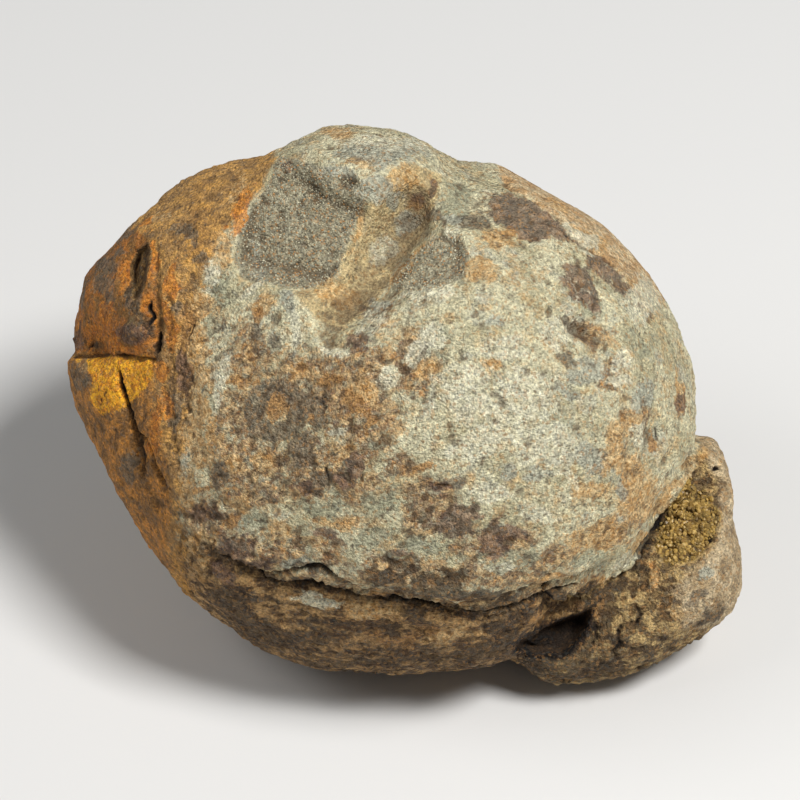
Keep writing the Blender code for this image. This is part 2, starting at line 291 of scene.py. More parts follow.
def inside(plan, outline):
    """How far inside a closed outline each spot lies, in millimetres, negative outside."""
    corners = np.array(outline, float)
    within = np.zeros(len(plan), bool)
    for a, b in zip(corners, np.roll(corners, -1, axis=0)):
        crosses = (a[1] > plan[:, 1]) != (b[1] > plan[:, 1])
        rise = b[1] - a[1] if b[1] != a[1] else 1e-9
        within ^= crosses & (plan[:, 0] < (b[0] - a[0]) * (plan[:, 1] - a[1]) / rise + a[0])
    gap = route_distance(plan, [*outline, outline[0]])
    return np.where(within, gap, -gap)


middle_of_eyelet = np.mean([EYELET], axis=1)
print("the eyelet's middle lies", np.round(inside(middle_of_eyelet, EYELET), 2), "mm inside its outline")

# %% Recast the solid
VOXEL = 0.67 * MM


def merged_copy(obj, name):
    """A copy whose loose triangles are joined at their corners."""
    work = bmesh.new()
    work.from_mesh(obj.data)
    bmesh.ops.remove_doubles(work, verts=work.verts, dist=1e-6)
    mesh = bpy.data.meshes.new(name)
    work.to_mesh(mesh)
    work.free()
    copy = bpy.data.objects.new(name, mesh)
    bpy.context.scene.collection.objects.link(copy)
    return copy


def smooth(obj, rounds):
    softer = obj.modifiers.new("smooth", "SMOOTH")
    softer.factor = 0.5
    softer.iterations = rounds
    return bake_modifiers(obj)


stone = merged_copy(solid, "fossil_stone")
recast = stone.modifiers.new("recast", "REMESH")
recast.mode = "VOXEL"
recast.voxel_size = VOXEL
bake_modifiers(stone)
smooth(stone, 6)
print("recast:", triangles(stone.data), "triangles")


# %% Split the skin where it needs detail
# In mm: how far behind the bench's zero the show side ends, and how near to a crack the skin is split
# again.
SHOW_BACK = -12.0
NEAR_A_CRACK = 0.55


def split_where(mesh, wanted):
    """Splits in four each face whose middle and normal, on the bench, are wanted."""
    work = bmesh.new()
    work.from_mesh(mesh)
    work.normal_update()
    work.faces.ensure_lookup_table()
    work.edges.index_update()
    middles = to_bench([face.calc_center_median() for face in work.faces])
    facing = np.array([face.normal for face in work.faces]) @ TURN
    chosen = np.flatnonzero(wanted(middles, facing))
    edges = {edge for index in chosen for edge in work.faces[int(index)].edges}
    # A set has no order of its own, so it is sorted, and the same mesh comes out each time.
    in_order = sorted(edges, key=lambda edge: edge.index)
    bmesh.ops.subdivide_edges(work, edges=in_order, cuts=1, use_grid_fill=True)
    bmesh.ops.triangulate(work, faces=[face for face in work.faces if len(face.verts) > 4])
    work.to_mesh(mesh)
    work.free()


def on_show_side(middles, facing):
    return (facing[:, 2] > 0.02) & (middles[:, 2] > SHOW_BACK)


def by_a_crack(middles, facing):
    near = np.zeros(len(middles), bool)
    for route in CRACKS:
        near |= route_distance(middles[:, :2], route) < NEAR_A_CRACK
    return near & on_show_side(middles, facing)


split_where(stone.data, on_show_side)
smooth(stone, 3)
print("split:", triangles(stone.data), "triangles")
split_where(stone.data, by_a_crack)
smooth(stone, 1)
print("blank:", len(stone.data.vertices), "points,", triangles(stone.data), "triangles")

# %% [markdown]
# ## Main forms, cut sharp
#
# The remesh rounded off the flats and the trough of the broken flank. A sculptor would flatten them again
# with a plane tool, and the same is done here with numbers: a point that stands above the plane inside the
# outline is moved down to it, and the right flat is filled up to its plane too. The trough's floor is round
# instead.

# %% Outlines of the broken flank
LEFT_FLAT = [
    (-11.1, 22.4), (-12.0, 20.0), (-13.6, 17.7), (-14.6, 15.5), (-15.0, 12.6), (-14.4, 11.2), (-13.4, 10.7),
    (-11.0, 10.3), (-9.8, 9.7), (-8.4, 8.8), (-6.3, 9.6), (-5.0, 11.6), (-4.4, 13.5), (-3.6, 15.5),
    (-2.8, 17.6), (-2.9, 19.2), (-4.3, 20.4), (-5.8, 20.6), (-8.0, 21.6),
]
RIGHT_FLAT = [
    (-1.6, 10.0), (1.0, 9.8), (3.5, 9.9), (5.7, 10.9), (6.3, 12.9), (5.4, 14.7), (4.1, 15.0), (2.5, 14.4),
    (1.0, 13.1), (-0.2, 11.9),
]
# The cuts run on over the trough, so that no ridge is left between it and the flats.
LEFT_CUT = LEFT_FLAT[:9] + [
    (-6.0, 8.6), (-3.6, 11.0), (-1.8, 14.0), (-0.8, 16.5), (-3.0, 18.0), (-6.0, 18.8), (-8.0, 20.6),
]
RIGHT_CUT = [(-4.0, 10.4), (-1.6, 9.6), *RIGHT_FLAT[1:7], (2.5, 16.4), (0.6, 16.0), (-1.6, 13.6)]
# A place on each flat's plane, and the way that the plane looks.
LEFT_FLAT_AT, LEFT_FLAT_OUT = (-9.0, 15.5, 12.7), (-0.24, 0.22, 0.94)
RIGHT_FLAT_AT, RIGHT_FLAT_OUT = (3.0, 12.0, 16.4), (-0.23, 0.58, 0.78)
# Spots down the middle of the trough: (u, v, w), how fast its floor curves up, per millimetre, and how many
# times faster it does so to the right.
TROUGH = [
    (-6.1, 7.5, 17.2, 0.20, 1.3), (-4.4, 9.6, 15.4, 0.18, 1.6), (-2.2, 12.0, 13.6, 0.18, 1.9),
    (-0.2, 14.3, 12.1, 0.22, 2.2), (1.2, 16.2, 11.4, 0.28, 2.4), (1.8, 18.0, 11.4, 0.32, 2.4),
    (2.4, 19.6, 11.5, 0.40, 2.4),
]
print("trough runs from", TROUGH[0][:3], "to", TROUGH[-1][:3])


# %% Flats and trough
def down_to_plane(points, outline, at, out, slope, fill=0.0):
    """How far down each point goes to reach a plane inside an outline; a filled one may also go up."""
    normal = np.array(out) / np.linalg.norm(out)
    height = (points - np.array(at)) @ normal / normal[2]
    reach = np.clip(slope * (inside(points[:, :2], outline) + 0.15), 0.0, None)
    return np.where(points[:, 2] > 0, np.clip(height, -np.minimum(reach, fill), reach), 0.0)


def down_to_trough(points):
    """How far down to the trough's round floor, which follows its own line."""
    best = np.zeros(len(points))
    for start, end in zip(TROUGH, TROUGH[1:]):
        run, rise = end[0] - start[0], end[1] - start[1]
        for share in np.linspace(0.0, 1.0, 9):
            u, v, w, curve, steeper = np.array(start) * (1 - share) + np.array(end) * share
            across = (points[:, 0] - u) ** 2 + (points[:, 1] - v) ** 2
            aside = (rise * (points[:, 0] - u) - run * (points[:, 1] - v)) / math.hypot(run, rise)
            floor_there = w + curve * across * (1.0 + (steeper - 1.0) * ease(aside / 2.5))
            best = np.maximum(best, points[:, 2] - floor_there)
    return np.where(points[:, 2] > 0, np.clip(best, 0.0, None), 0.0)


skin = to_bench(places_of(stone.data))
outward = normals_of(stone.data) @ TURN
facing_us = ease((outward[:, 2] + 0.25) / 0.3) * (skin[:, 2] > SHOW_BACK)
before = skin[:, 2].copy()
skin[:, 2] -= down_to_plane(skin, RIGHT_CUT, RIGHT_FLAT_AT, RIGHT_FLAT_OUT, 0.9, fill=1.4)
skin[:, 2] -= down_to_plane(skin, LEFT_CUT, LEFT_FLAT_AT, LEFT_FLAT_OUT, 0.7)
skin[:, 2] -= down_to_trough(skin)
raised = skin[:, 2] - before
print("flank moved by", np.round(raised.min(), 2), "to", np.round(raised.max(), 2), "mm")

# %% [markdown]
# ## Holes, swellings and the lobe's edge
#
# Four outlines are pressed in, or out, with a soft wall: the eyelet with its little tongue, the bed of the
# crystals, and the hollow between the dome and the snout. The far edge of the folded end gets its own line,
# and a few bumps swell a little past the solid, which was left plainer there.

# %% Holes, swellings and the lobe's edge
TONGUE = [(-23.7, 9.3), (-24.5, 7.9), (-25.4, 6.6), (-25.6, 5.5), (-24.7, 5.0), (-23.5, 5.6), (-23.2, 7.4)]
CRYSTAL_ZONE = [
    (27.6, -7.2), (29.3, -8.6), (30.3, -11.2), (29.6, -13.0), (27.6, -15.0), (25.2, -15.6), (24.2, -14.2),
    (24.9, -11.8), (25.9, -9.8), (26.8, -8.4),
]
HOLLOW = [
    (18.2, -19.2), (17.9, -21.3), (16.8, -23.0), (15.3, -24.2), (12.5, -24.2), (10.4, -23.5), (10.6, -22.3),
    (13.2, -21.1), (15.6, -20.3),
]
# Each: outline, depth, how wide its wall is, and how far outside the outline the wall begins.
PRESSED = [
    (EYELET, 1.4, 0.5, 0.0),
    (TONGUE, -0.55, 0.8, 0.0),
    (CRYSTAL_ZONE, 0.5, 0.6, 0.2),
    (HOLLOW, 3.4, 0.9, 0.0),
]
# How far the lobe's far edge stands back from the fold, as (v, millimetres); it bulges out higher up.
LOBE_EDGE = [(3.6, 0.0), (4.5, 0.8), (6.0, 0.5), (9.0, -0.3), (12.0, -0.8), (15.0, -0.6), (18.0, 0.0)]
# Each swelling: its middle (u, v, w), its push along u and v, and how far it reaches.
SWELLS = [
    ((8.0, 21.0, 2.0), (0.3, 1.1), 4.0),
    ((30.0, -5.0, -6.0), (0.8, 2.0), 2.6),
    ((31.8, -12.0, -3.0), (-0.6, 0.0), 2.2),
    ((31.0, -19.4, -3.0), (1.2, -1.0), 4.5),
]

pressed = np.zeros(len(skin))
for outline, depth, wall, begins in PRESSED:
    pressed += depth * ease((inside(skin[:, :2], outline) + begins) / wall) * facing_us
skin[:, 0] += np.interp(skin[:, 1], *zip(*LOBE_EDGE)) * ease((-26.0 - skin[:, 0]) / 3.0)
for middle, push, reach in SWELLS:
    close = np.exp(-(np.linalg.norm(skin - np.array(middle), axis=1) ** 2) / reach**2)
    skin[:, :2] += close[:, None] * np.array(push)
skin[:, 2] -= pressed
print("pressed in by up to", np.round(pressed.max(), 2), "mm")

# %% [markdown]
# ## What each part of the skin is made of
#
# The stone has zones: sandy filling on the flats, smooth clay in the trough, rust over the folded end, a
# patch of yellow crystals on the snout. Each zone becomes a soft mask, stored on the mesh as an attribute,
# which is 0.5 on its edge. Node trees can then add noise to the mask before they cut it, which gives
# natural edges.

# %% Outlines of the zones
TROUGH_ZONE = [
    (-8.9, 8.8), (-9.6, 9.7), (-7.9, 10.0), (-5.6, 11.0), (-5.0, 13.1), (-4.1, 15.2), (-3.2, 17.1),
    (-2.2, 18.6), (-0.7, 20.9), (1.0, 21.6), (3.9, 20.6), (3.3, 18.2), (2.6, 16.0), (1.7, 14.3),
    (-0.2, 12.4), (-1.3, 10.3), (-2.4, 8.6), (-4.1, 6.9), (-5.8, 6.4), (-7.4, 7.2),
]
YELLOW_ZONE = [
    (-30.7, 4.0), (-27.6, 4.1), (-24.9, 4.0), (-22.3, 3.8), (-22.6, 2.0), (-24.0, 0.4), (-25.4, -0.8),
    (-27.6, -1.4), (-28.8, 0.0), (-28.6, 2.0),
]
LOBE_ZONE = [
    (-34.0, 4.4), (-22.4, 3.8), (-22.2, 8.0), (-22.4, 12.0), (-23.0, 15.0), (-28.0, 17.0), (-34.0, 10.0),
]
BEAK_ZONE = [(-34.0, 4.4), (-22.4, 3.8), (-22.4, -1.0), (-20.8, -8.0), (-21.4, -16.0), (-34.0, -16.0)]
MARGIN_ZONE = PEEL + [(24.0, 9.0), (30.0, 12.0), (20.0, 26.0), (9.0, 26.0)]
BAND_ZONE = SEAM[:-2] + [(20.0, -17.4), (22.0, -21.6), (22.0, -40.0), (-30.0, -40.0), (-20.5, -13.0)]
SNOUT_ZONE = LIP + [
    (29.0, -3.0), (40.0, -3.0), (40.0, -40.0), (10.0, -40.0), (13.0, -25.0), (16.0, -21.6), (17.4, -19.2),
]
FLANK_ZONE = [
    (28.0, -2.0), (29.4, -6.0), (30.4, -8.0), (30.6, -10.6), (30.0, -13.2), (28.8, -14.8), (26.6, -16.4),
    (25.2, -18.4), (26.6, -21.4), (40.0, -22.0), (40.0, -2.0),
]
# The painted shade in the hollow reaches a little past what is pressed in.
CAVE_ZONE = [
    (18.4, -19.1), (18.2, -21.3), (17.2, -23.1), (15.2, -24.4), (12.4, -24.4), (10.2, -23.6), (10.6, -22.0),
    (13.2, -21.0), (15.6, -20.2),
]
SPLINTER_ZONE = [(23.3, -15.2), (23.9, -15.0), (24.5, -16.4), (24.1, -17.8), (23.5, -18.0), (23.3, -16.4)]
MAROON_ZONES = [
    [
        (8.0, 18.9), (9.8, 19.1), (11.4, 18.6), (13.6, 17.2), (14.8, 16.0), (17.0, 14.1), (14.6, 14.4),
        (13.5, 14.4), (11.8, 14.3), (9.8, 15.6), (8.0, 16.6),
    ],
    [
        (16.8, 13.8), (18.7, 13.0), (20.4, 11.3), (21.3, 10.0), (20.5, 9.5), (19.2, 10.7), (17.9, 11.4),
        (16.8, 11.8),
    ],
    [
        (14.8, 12.4), (16.2, 12.3), (17.3, 11.0), (18.3, 8.4), (17.3, 7.6), (16.5, 9.2), (15.6, 9.8),
        (14.3, 9.9),
    ],
]
# Where the rust of the folded end begins, as (v, u) up the stone.
RUST_EDGE = [
    (-20, -19.0), (-13.5, -20.2), (-9, -19.8), (-4.6, -19.6), (0, -19.2), (4.6, -18.0), (11, -18.0),
    (14.9, -15.8), (18.5, -13.4), (22, -11.4),
]
print("maroon patches:", len(MAROON_ZONES))


# %% Masks of the zones
def zone(outline, soft, whole=False):
    """A mask that is 0.5 on the outline: on the side that faces out, or on the whole stone behind it too."""
    soft_inside = np.clip(0.5 + inside(skin[:, :2], outline) / (2 * soft), 0.0, 1.0)
    return soft_inside * (1.0 if whole else facing_us)


# 0 on the show face, 1 on the sides and behind.
sides = ease(-skin[:, 2] / 8.0)
rust_edge = np.interp(skin[:, 1], *zip(*RUST_EDGE))
trough_mask = zone(TROUGH_ZONE, 0.9)
masks = {
    "sand": np.maximum(zone(LEFT_FLAT, 0.9), zone(RIGHT_FLAT, 0.9)) * (1 - trough_mask),
    "trough": trough_mask,
    "crystal": zone(CRYSTAL_ZONE, 0.8),
    "rust": np.clip(0.5 + (rust_edge - skin[:, 0]) / (3.5 + 14.0 * sides), 0.0, 1.0),
    "yellow": zone(YELLOW_ZONE, 1.0),
    "lobe": zone(LOBE_ZONE, 1.2),
    "beak": zone(BEAK_ZONE, 1.5),
    "margin": zone(MARGIN_ZONE, 0.7) * (1 - ease(-skin[:, 2] / 6.0)),
    "band": np.maximum(zone(BAND_ZONE, 1.6, whole=True), 0.45 * sides),
    "tongue": zone(TONGUE, 0.8),
    "hole": zone(EYELET, 0.3),
    "snout": zone(SNOUT_ZONE, 0.8, whole=True),
    "flank": zone(FLANK_ZONE, 1.2, whole=True),
    # Painted shade in the hollow by the snout.
    "hollow": zone(CAVE_ZONE, 0.9, whole=True),
}
print("zones:", {name: int((mask > 0.5).sum()) for name, mask in masks.items()})

# %% [markdown]
# ## Stains
#
# On top of the zones lie a few hundred stains. The umber ones, and a few others noted below, are painted
# shade, and a few pale ones are painted highlights. Noise alone would put them anywhere, so each one has a
# place. A stain is a soft oval: its spot (u, v), half its width, half its height and, where it leans, its
# tilt in degrees. The ovals are read at places that smooth noise has moved aside, so their outlines are
# ragged. Broad, faint washes of the same pigments lie under them, and only show where the paint's own noise
# is high.

# %% Stains, by pigment
MARKS = {
    "pale": [
        (-16.0, 2.0, 0.8, 2.7), (-9.3, 6.4, 0.6, 1.6, 10), (-6.2, 4.7, 1.9, 0.6, -20),
        (-2.5, 6.9, 0.8, 1.6, -50), (2.2, 9.4, 3.4, 0.7), (19.5, 1.6, 0.9, 0.8),
        (12.8, -4.0, 3.5, 2.3, -20), (2.5, -0.2, 0.4, 1.8, 8), (-5.6, -2.6, 0.6, 0.5),
        (-1.3, 2.2, 0.8, 0.8), (4.7, 15.1, 1.3, 0.8), (10.5, 0.0, 3.5, 2.6, 20), (14.2, 6.2, 2.2, 1.8),
        (-13.0, 10.1, 1.3, 0.5, 20), (22.0, 9.1, 1.6, 2.7, -35), (-0.9, 23.6, 4.6, 0.7, -3),
        (-1.5, 13.7, 1.5, 1.1, 45), (7.8, -8.2, 1.8, 0.9), (14.6, -6.9, 1.6, 0.7, -10),
        (12.6, -10.2, 1.6, 0.8), (6.0, 1.0, 2.6, 2.6), (8.0, -3.0, 2.4, 1.6), (2.6, 5.4, 1.2, 1.6),
        # (24.2, -11.2) is a painted glint on the crystals; (20.9, -15.1) is the pale calcite of the lip's
        # edge, with a painted glint on it.
        (9.0, 4.6, 1.8, 1.4), (6.2, -4.6, 1.9, 1.0), (20.2, 3.2, 1.2, 1.0), (24.2, -11.2, 0.4, 0.4),
        (20.9, -15.1, 1.0, 0.6, 30), (-17.2, 10.9, 0.7, 1.2), (1.3, 4.0, 0.9, 1.0),
        (16.9, 14.6, 1.6, 1.0, -40), (8.9, -14.7, 1.2, 0.4), (0.0, 9.3, 0.9, 0.7), (21.6, -3.2, 0.8, 1.0),
        # (-7.4, -18.3) is a pale strip painted as the highlight on the lit top edge of the band, under the
        # seam.
        (-7.4, -18.3, 1.9, 0.4, -6),
    ],
    "sage": [
        (-1.8, -9.0, 2.3, 1.0), (-7.1, -9.5, 2.3, 0.9), (-2.4, -12.2, 1.8, 0.8, 5),
        (-13.0, -11.2, 1.3, 0.9), (5.0, 17.9, 1.5, 1.8), (22.1, 0.5, 1.3, 1.1), (17.1, 9.0, 1.4, 0.9, -40),
        (21.7, 5.0, 1.3, 0.8, -30), (14.1, -1.8, 2.7, 1.1, -30), (3.5, 4.4, 1.1, 1.8),
        (17.2, -14.4, 2.0, 0.8, 5), (9.8, -14.2, 2.7, 0.9, 5), (1.8, -12.9, 2.3, 0.8),
        (-2.7, 12.4, 1.8, 1.6, 30), (-1.6, 14.6, 1.2, 1.4, 40), (-17.2, -0.6, 0.8, 1.9),
        (-16.4, 9.4, 1.0, 1.8), (-11.0, -21.0, 1.5, 0.6, 10), (-21.6, 12.2, 0.6, 2.4),
        (-17.4, 16.9, 0.8, 0.9), (-2.2, -4.0, 0.9, 0.7),
    ],
    "slate": [
        (8.2, 7.3, 0.8, 0.5), (6.0, 3.9, 0.6, 0.6), (21.9, 0.9, 1.1, 1.0), (16.9, -5.0, 1.7, 1.2, -20),
        (14.8, 0.6, 1.2, 0.5, -20), (12.0, -6.6, 1.3, 0.7), (15.5, 2.4, 1.0, 0.5), (-1.8, 8.8, 0.8, 0.7),
        # (0.6, 16.1) lies in the deep pit at the top of the trough and is partly the stone's blue-grey,
        # partly painted shade.
        (-2.0, 19.3, 2.0, 1.4, 20), (0.6, 16.1, 1.2, 1.1), (-0.3, 18.3, 0.7, 0.9), (-9.2, -14.5, 1.4, 0.5),
        (10.3, 1.2, 0.9, 0.5), (29.0, -16.2, 1.0, 0.6, 20), (-9.9, 8.3, 0.7, 1.2, 20),
        (-5.6, 20.6, 1.6, 0.6, -10), (9.4, -6.2, 1.0, 0.6), (16.9, 2.7, 1.8, 1.3), (21.6, 0.0, 0.9, 0.8),
        (4.6, 16.4, 1.1, 0.6), (19.8, -8.2, 0.8, 0.5), (-12.8, 12.4, 0.5, 1.6), (-2.0, 22.6, 4.0, 1.0),
    ],
    "ochre": [
        (-14.9, 19.4, 0.9, 1.6, -15), (-21.7, 17.1, 1.3, 0.7, 20), (-5.8, 9.6, 2.0, 1.1, -30),
        (-17.7, 3.4, 0.7, 1.4), (-12.4, 8.0, 0.6, 1.2), (-13.6, 3.8, 0.8, 0.6), (-14.8, 1.7, 0.8, 0.8),
        (-9.1, 2.5, 1.2, 0.8), (-14.8, -5.8, 1.0, 0.8), (-12.1, -5.3, 0.9, 0.8), (-5.0, -4.8, 1.1, 0.9),
        (-16.4, -2.9, 0.7, 1.4, 20), (7.2, 11.6, 1.4, 1.0), (8.2, 3.0, 1.0, 0.7),
        (20.0, -2.1, 1.8, 1.0, 20), (17.0, -8.0, 2.0, 1.0, -8), (19.4, -4.9, 1.4, 2.3),
        (21.7, -9.0, 2.3, 2.3), (18.0, -12.1, 3.1, 1.4, 15), (8.7, 14.4, 1.7, 1.4), (0.5, 20.1, 1.3, 1.5),
        (-10.3, -11.6, 1.1, 0.8), (-5.3, -11.0, 2.1, 0.6), (-18.2, -12.9, 1.3, 0.7, -20),
        (-3.6, 21.7, 1.2, 0.5), (-6.0, 24.7, 1.3, 0.4), (14.8, 18.0, 1.3, 0.7, -20), (-3.1, 0.9, 1.4, 1.6),
        (-17.9, -4.6, 1.0, 1.6, 10), (-18.4, 4.6, 1.0, 2.4), (-18.6, 0.4, 0.8, 2.2),
        (-19.2, -8.4, 0.8, 2.6), (30.4, -5.2, 1.2, 1.4), (0.5, 12.2, 3.0, 0.3, 47),
        (-3.7, 15.4, 2.4, 0.4, 70), (2.6, 2.5, 1.2, 1.2), (-14.4, -9.4, 1.3, 0.9),
        (13.4, -16.4, 2.2, 0.6, 8), (7.2, -18.1, 2.7, 0.6), (-17.9, 8.4, 1.2, 1.6), (-17.6, -1.2, 0.9, 1.4),
        (-18.2, 2.6, 1.1, 1.4), (-18.8, -2.7, 0.9, 1.6), (-17.8, -14.1, 1.2, 0.8), (-4.9, 8.6, 1.2, 0.8),
        (27.6, -5.9, 0.9, 0.9), (24.8, -19.7, 1.4, 0.9), (18.2, -17.2, 2.0, 0.4, 10),
        (25.0, -9.0, 2.6, 1.1, 48), (22.4, -13.2, 1.6, 0.8, 48), (-17.4, 2.0, 1.0, 1.6),
        (-4.4, 9.0, 1.0, 0.8), (28.4, -5.2, 1.0, 0.7, 60), (-12.1, 8.1, 0.9, 0.9), (-1.8, 7.1, 0.8, 0.6),
        (-2.6, -19.2, 2.4, 0.5, -8), (4.8, -21.6, 2.6, 0.8, 8), (17.0, -21.6, 0.6, 1.6, 20),
        (21.8, 9.6, 0.8, 2.4, 40), (-16.0, 13.4, 0.8, 1.6), (25.4, 1.0, 0.4, 2.4, 8),
        (17.6, 14.6, 2.4, 0.7, -42),
    ],
    "brown": [
        (-7.1, 1.3, 5.3, 3.4), (-13.4, -6.3, 3.9, 3.9), (1.3, 3.5, 2.6, 3.0), (-3.3, -2.2, 3.2, 3.6),
        (-17.7, -11.3, 2.9, 2.4), (8.4, -13.0, 4.2, 1.2, 5), (21.0, -1.6, 1.6, 2.0),
        (19.6, -11.8, 2.6, 1.2, 20), (2.7, -15.6, 8.0, 1.3), (-11.2, -13.5, 3.1, 1.4, 10),
        (17.1, 5.8, 2.3, 1.3, -35), (20.8, -6.6, 0.9, 1.4), (-13.9, 4.0, 2.3, 2.3), (2.6, -8.0, 2.2, 1.4),
        (-18.6, 14.6, 1.4, 2.2), (-17.8, 17.1, 1.1, 1.1), (-17.6, 12.7, 0.9, 1.4), (-3.4, -8.0, 2.6, 1.4),
        (-8.0, -6.2, 2.8, 3.0), (1.6, -10.6, 1.6, 1.4), (-2.4, 3.2, 2.0, 1.6), (-1.6, 8.0, 0.8, 0.9),
        (13.0, -14.4, 2.4, 0.8), (-2.4, -15.0, 1.6, 0.8), (14.6, -13.6, 1.8, 0.7), (-6.6, -13.6, 1.6, 1.0),
        (-2.0, -14.6, 1.6, 0.8), (-14.2, -1.4, 2.2, 1.8), (-6.8, -12.9, 1.8, 0.8),
        # (28.6, -19.6) is painted shade on the snout's lower edge.
        (28.6, -19.6, 2.4, 1.2, 35), (19.0, 2.0, 1.2, 1.8), (11.6, -16.0, 2.0, 0.7, 8),
        (3.8, -9.6, 1.2, 0.9), (0.2, -6.0, 1.0, 1.3),
    ],
    "rusty": [
        (-10.8, -1.0, 0.8, 1.3, -10), (-8.9, 2.8, 0.8, 0.5), (-4.0, -0.7, 1.2, 1.3), (-2.8, -2.4, 0.5, 0.8),
        (1.8, -5.9, 0.8, 0.4, -5), (23.4, -3.5, 0.5, 1.1), (1.8, 17.7, 0.9, 0.7), (-13.6, 3.8, 0.5, 0.4),
        (14.4, -15.9, 1.1, 0.4), (-1.4, -17.6, 2.0, 0.5, 5), (5.6, -17.9, 0.9, 0.4),
        (-18.1, -8.1, 0.7, 0.5), (-0.5, -22.0, 2.2, 0.8), (2.9, -20.8, 1.1, 0.7), (-6.4, 1.6, 1.2, 0.6),
        (-19.3, 6.8, 0.8, 1.6), (12.4, -20.0, 1.4, 0.6, 20), (19.0, -19.8, 0.6, 1.2),
        (-15.0, -10.9, 0.8, 0.6), (9.8, 15.2, 0.7, 0.5), (-14.0, 1.6, 1.1, 0.9), (-12.4, 7.4, 0.7, 0.8),
    ],
    "orange": [
        (-20.6, 10.3, 0.5, 1.8), (-25.2, 10.9, 0.7, 1.3), (-28.2, 6.2, 1.3, 0.9), (-26.1, 4.9, 1.5, 0.5),
        (-22.9, 13.0, 0.5, 1.9), (-20.7, 6.4, 0.5, 1.1), (-21.9, 2.6, 0.5, 1.6),
        (-22.6, -3.6, 0.4, 1.8, -15), (-27.4, 8.2, 0.7, 1.4, 10), (-14.6, 17.2, 0.7, 2.2, -15),
        (-27.4, 6.0, 1.6, 0.8), (-21.0, 8.2, 0.5, 0.8), (-21.0, 6.6, 0.7, 1.9), (-22.2, -1.6, 0.6, 2.6, -8),
        (-30.2, 7.4, 0.6, 1.2), (-21.2, -0.6, 0.4, 1.5), (-23.4, 16.4, 1.0, 0.7, 30),
        (-15.0, 16.0, 0.6, 1.4, -15), (-23.0, 7.4, 0.4, 1.8),
    ],
    "grey": [
        (-27.1, 13.2, 1.7, 0.8, 20), (-27.1, 9.1, 0.5, 1.1), (-29.6, 2.2, 0.9, 1.6), (-24.2, 9.1, 0.7, 1.3),
        (-15.9, 6.7, 0.5, 0.5), (-12.3, 5.9, 0.7, 0.9), (-10.7, 5.3, 0.6, 0.6), (-7.3, -1.0, 0.8, 1.9),
        (-11.4, -8.4, 0.9, 0.6, 20), (-16.2, -6.6, 0.9, 1.5), (4.4, -7.0, 1.1, 0.5), (-4.9, -7.1, 0.7, 1.2),
        (-8.6, -4.4, 1.2, 1.6), (-7.0, -7.6, 1.6, 1.0), (-19.6, 15.6, 0.9, 0.7), (-29.8, 9.6, 0.6, 1.2),
        (14.6, 3.4, 0.7, 0.4, -30), (6.6, 7.8, 0.4, 0.3), (-20.4, -1.4, 0.4, 1.4),
        (-25.0, -6.2, 0.6, 1.6, -20), (-19.8, 8.4, 0.4, 1.2), (6.4, 16.2, 1.4, 1.3),
        (-25.4, 15.6, 1.0, 0.6, 30), (-26.4, 12.5, 1.0, 0.8), (-19.1, 14.6, 0.6, 0.8),
        (-17.8, 12.6, 0.6, 0.8), (-27.4, 10.9, 1.2, 1.2), (-2.7, 7.9, 0.8, 0.6), (-20.8, -0.4, 0.7, 1.6),
        (3.2, 16.8, 0.7, 1.0), (28.0, -18.6, 1.3, 0.7, 30),
    ],
    # Painted shade: umber marks darken the recesses, the gaps by the hinge and under the lip, the hollow and
    # the lower edge of the stone, where shadow falls.
    "umber": [
        (4.2, -16.6, 2.0, 0.9, -12), (-7.9, -15.1, 1.8, 0.7), (-0.4, -16.1, 2.3, 0.4, 8),
        (9.7, -22.1, 2.2, 1.3, 10), (23.6, -13.8, 0.6, 2.0, -35), (19.1, -18.6, 2.4, 0.7, 22),
        (-13.6, -15.7, 1.5, 0.5, 20), (-15.2, -14.5, 1.1, 0.7), (-10.2, -22.2, 5.6, 0.9, 8),
        (-22.1, 5.0, 0.4, 1.1), (0.0, -24.0, 5.5, 0.6), (17.8, -22.5, 0.8, 1.9), (1.8, -16.3, 0.9, 0.4),
        (-15.5, -18.6, 2.6, 1.4, -35), (-6.6, -20.4, 3.6, 0.5, -4), (1.4, -19.6, 1.4, 0.5, -10),
        (20.6, -23.2, 0.7, 1.5), (-28.6, 4.9, 0.5, 0.5), (-1.2, -21.0, 1.6, 0.4, 10),
        (13.9, -19.4, 0.9, 0.4, 10), (20.6, -17.6, 1.4, 0.5, 30), (-7.2, -15.3, 0.9, 0.5),
        (8.5, -17.5, 1.2, 0.6), (11.4, -19.1, 1.2, 0.7), (-23.7, 8.2, 0.4, 0.8),
        (13.0, -25.0, 2.4, 1.0, 10), (17.0, -24.8, 2.2, 1.6), (22.9, -16.4, 0.8, 0.7),
        (8.6, -22.8, 2.2, 1.4), (29.2, -20.4, 1.8, 0.8, 35), (-23.3, 6.6, 0.45, 1.2),
        (9.6, -18.6, 1.6, 0.7), (15.0, -26.4, 3.0, 1.2, 10), (-24.7, 10.6, 0.4, 1.3, 10),
        (-12.6, -18.2, 2.2, 0.5, -10), (22.6, -21.4, 0.6, 1.6, 10), (19.4, -21.0, 0.6, 1.4),
        (24.6, -19.6, 1.4, 0.5, 40), (6.6, -23.4, 2.6, 0.6, 6), (5.0, -17.4, 6.0, 0.7, -3),
        (-1.8, -15.4, 1.4, 0.5), (9.0, -20.6, 1.6, 1.0), (12.6, -22.6, 1.6, 1.2),
        (-14.6, -23.0, 3.0, 1.6, -24), (-6.0, -26.0, 5.0, 1.4, -8), (6.0, -26.4, 5.0, 1.0),
        (18.8, -25.6, 3.0, 1.2, 20), (9.6, -19.8, 1.4, 0.7), (-14.0, -21.0, 4.0, 1.0, -24),
    ],
    "maroon": [
        (-3.5, 5.1, 1.2, 0.9), (-8.2, -7.7, 0.7, 0.6), (-17.9, -10.4, 1.5, 1.0, 15),
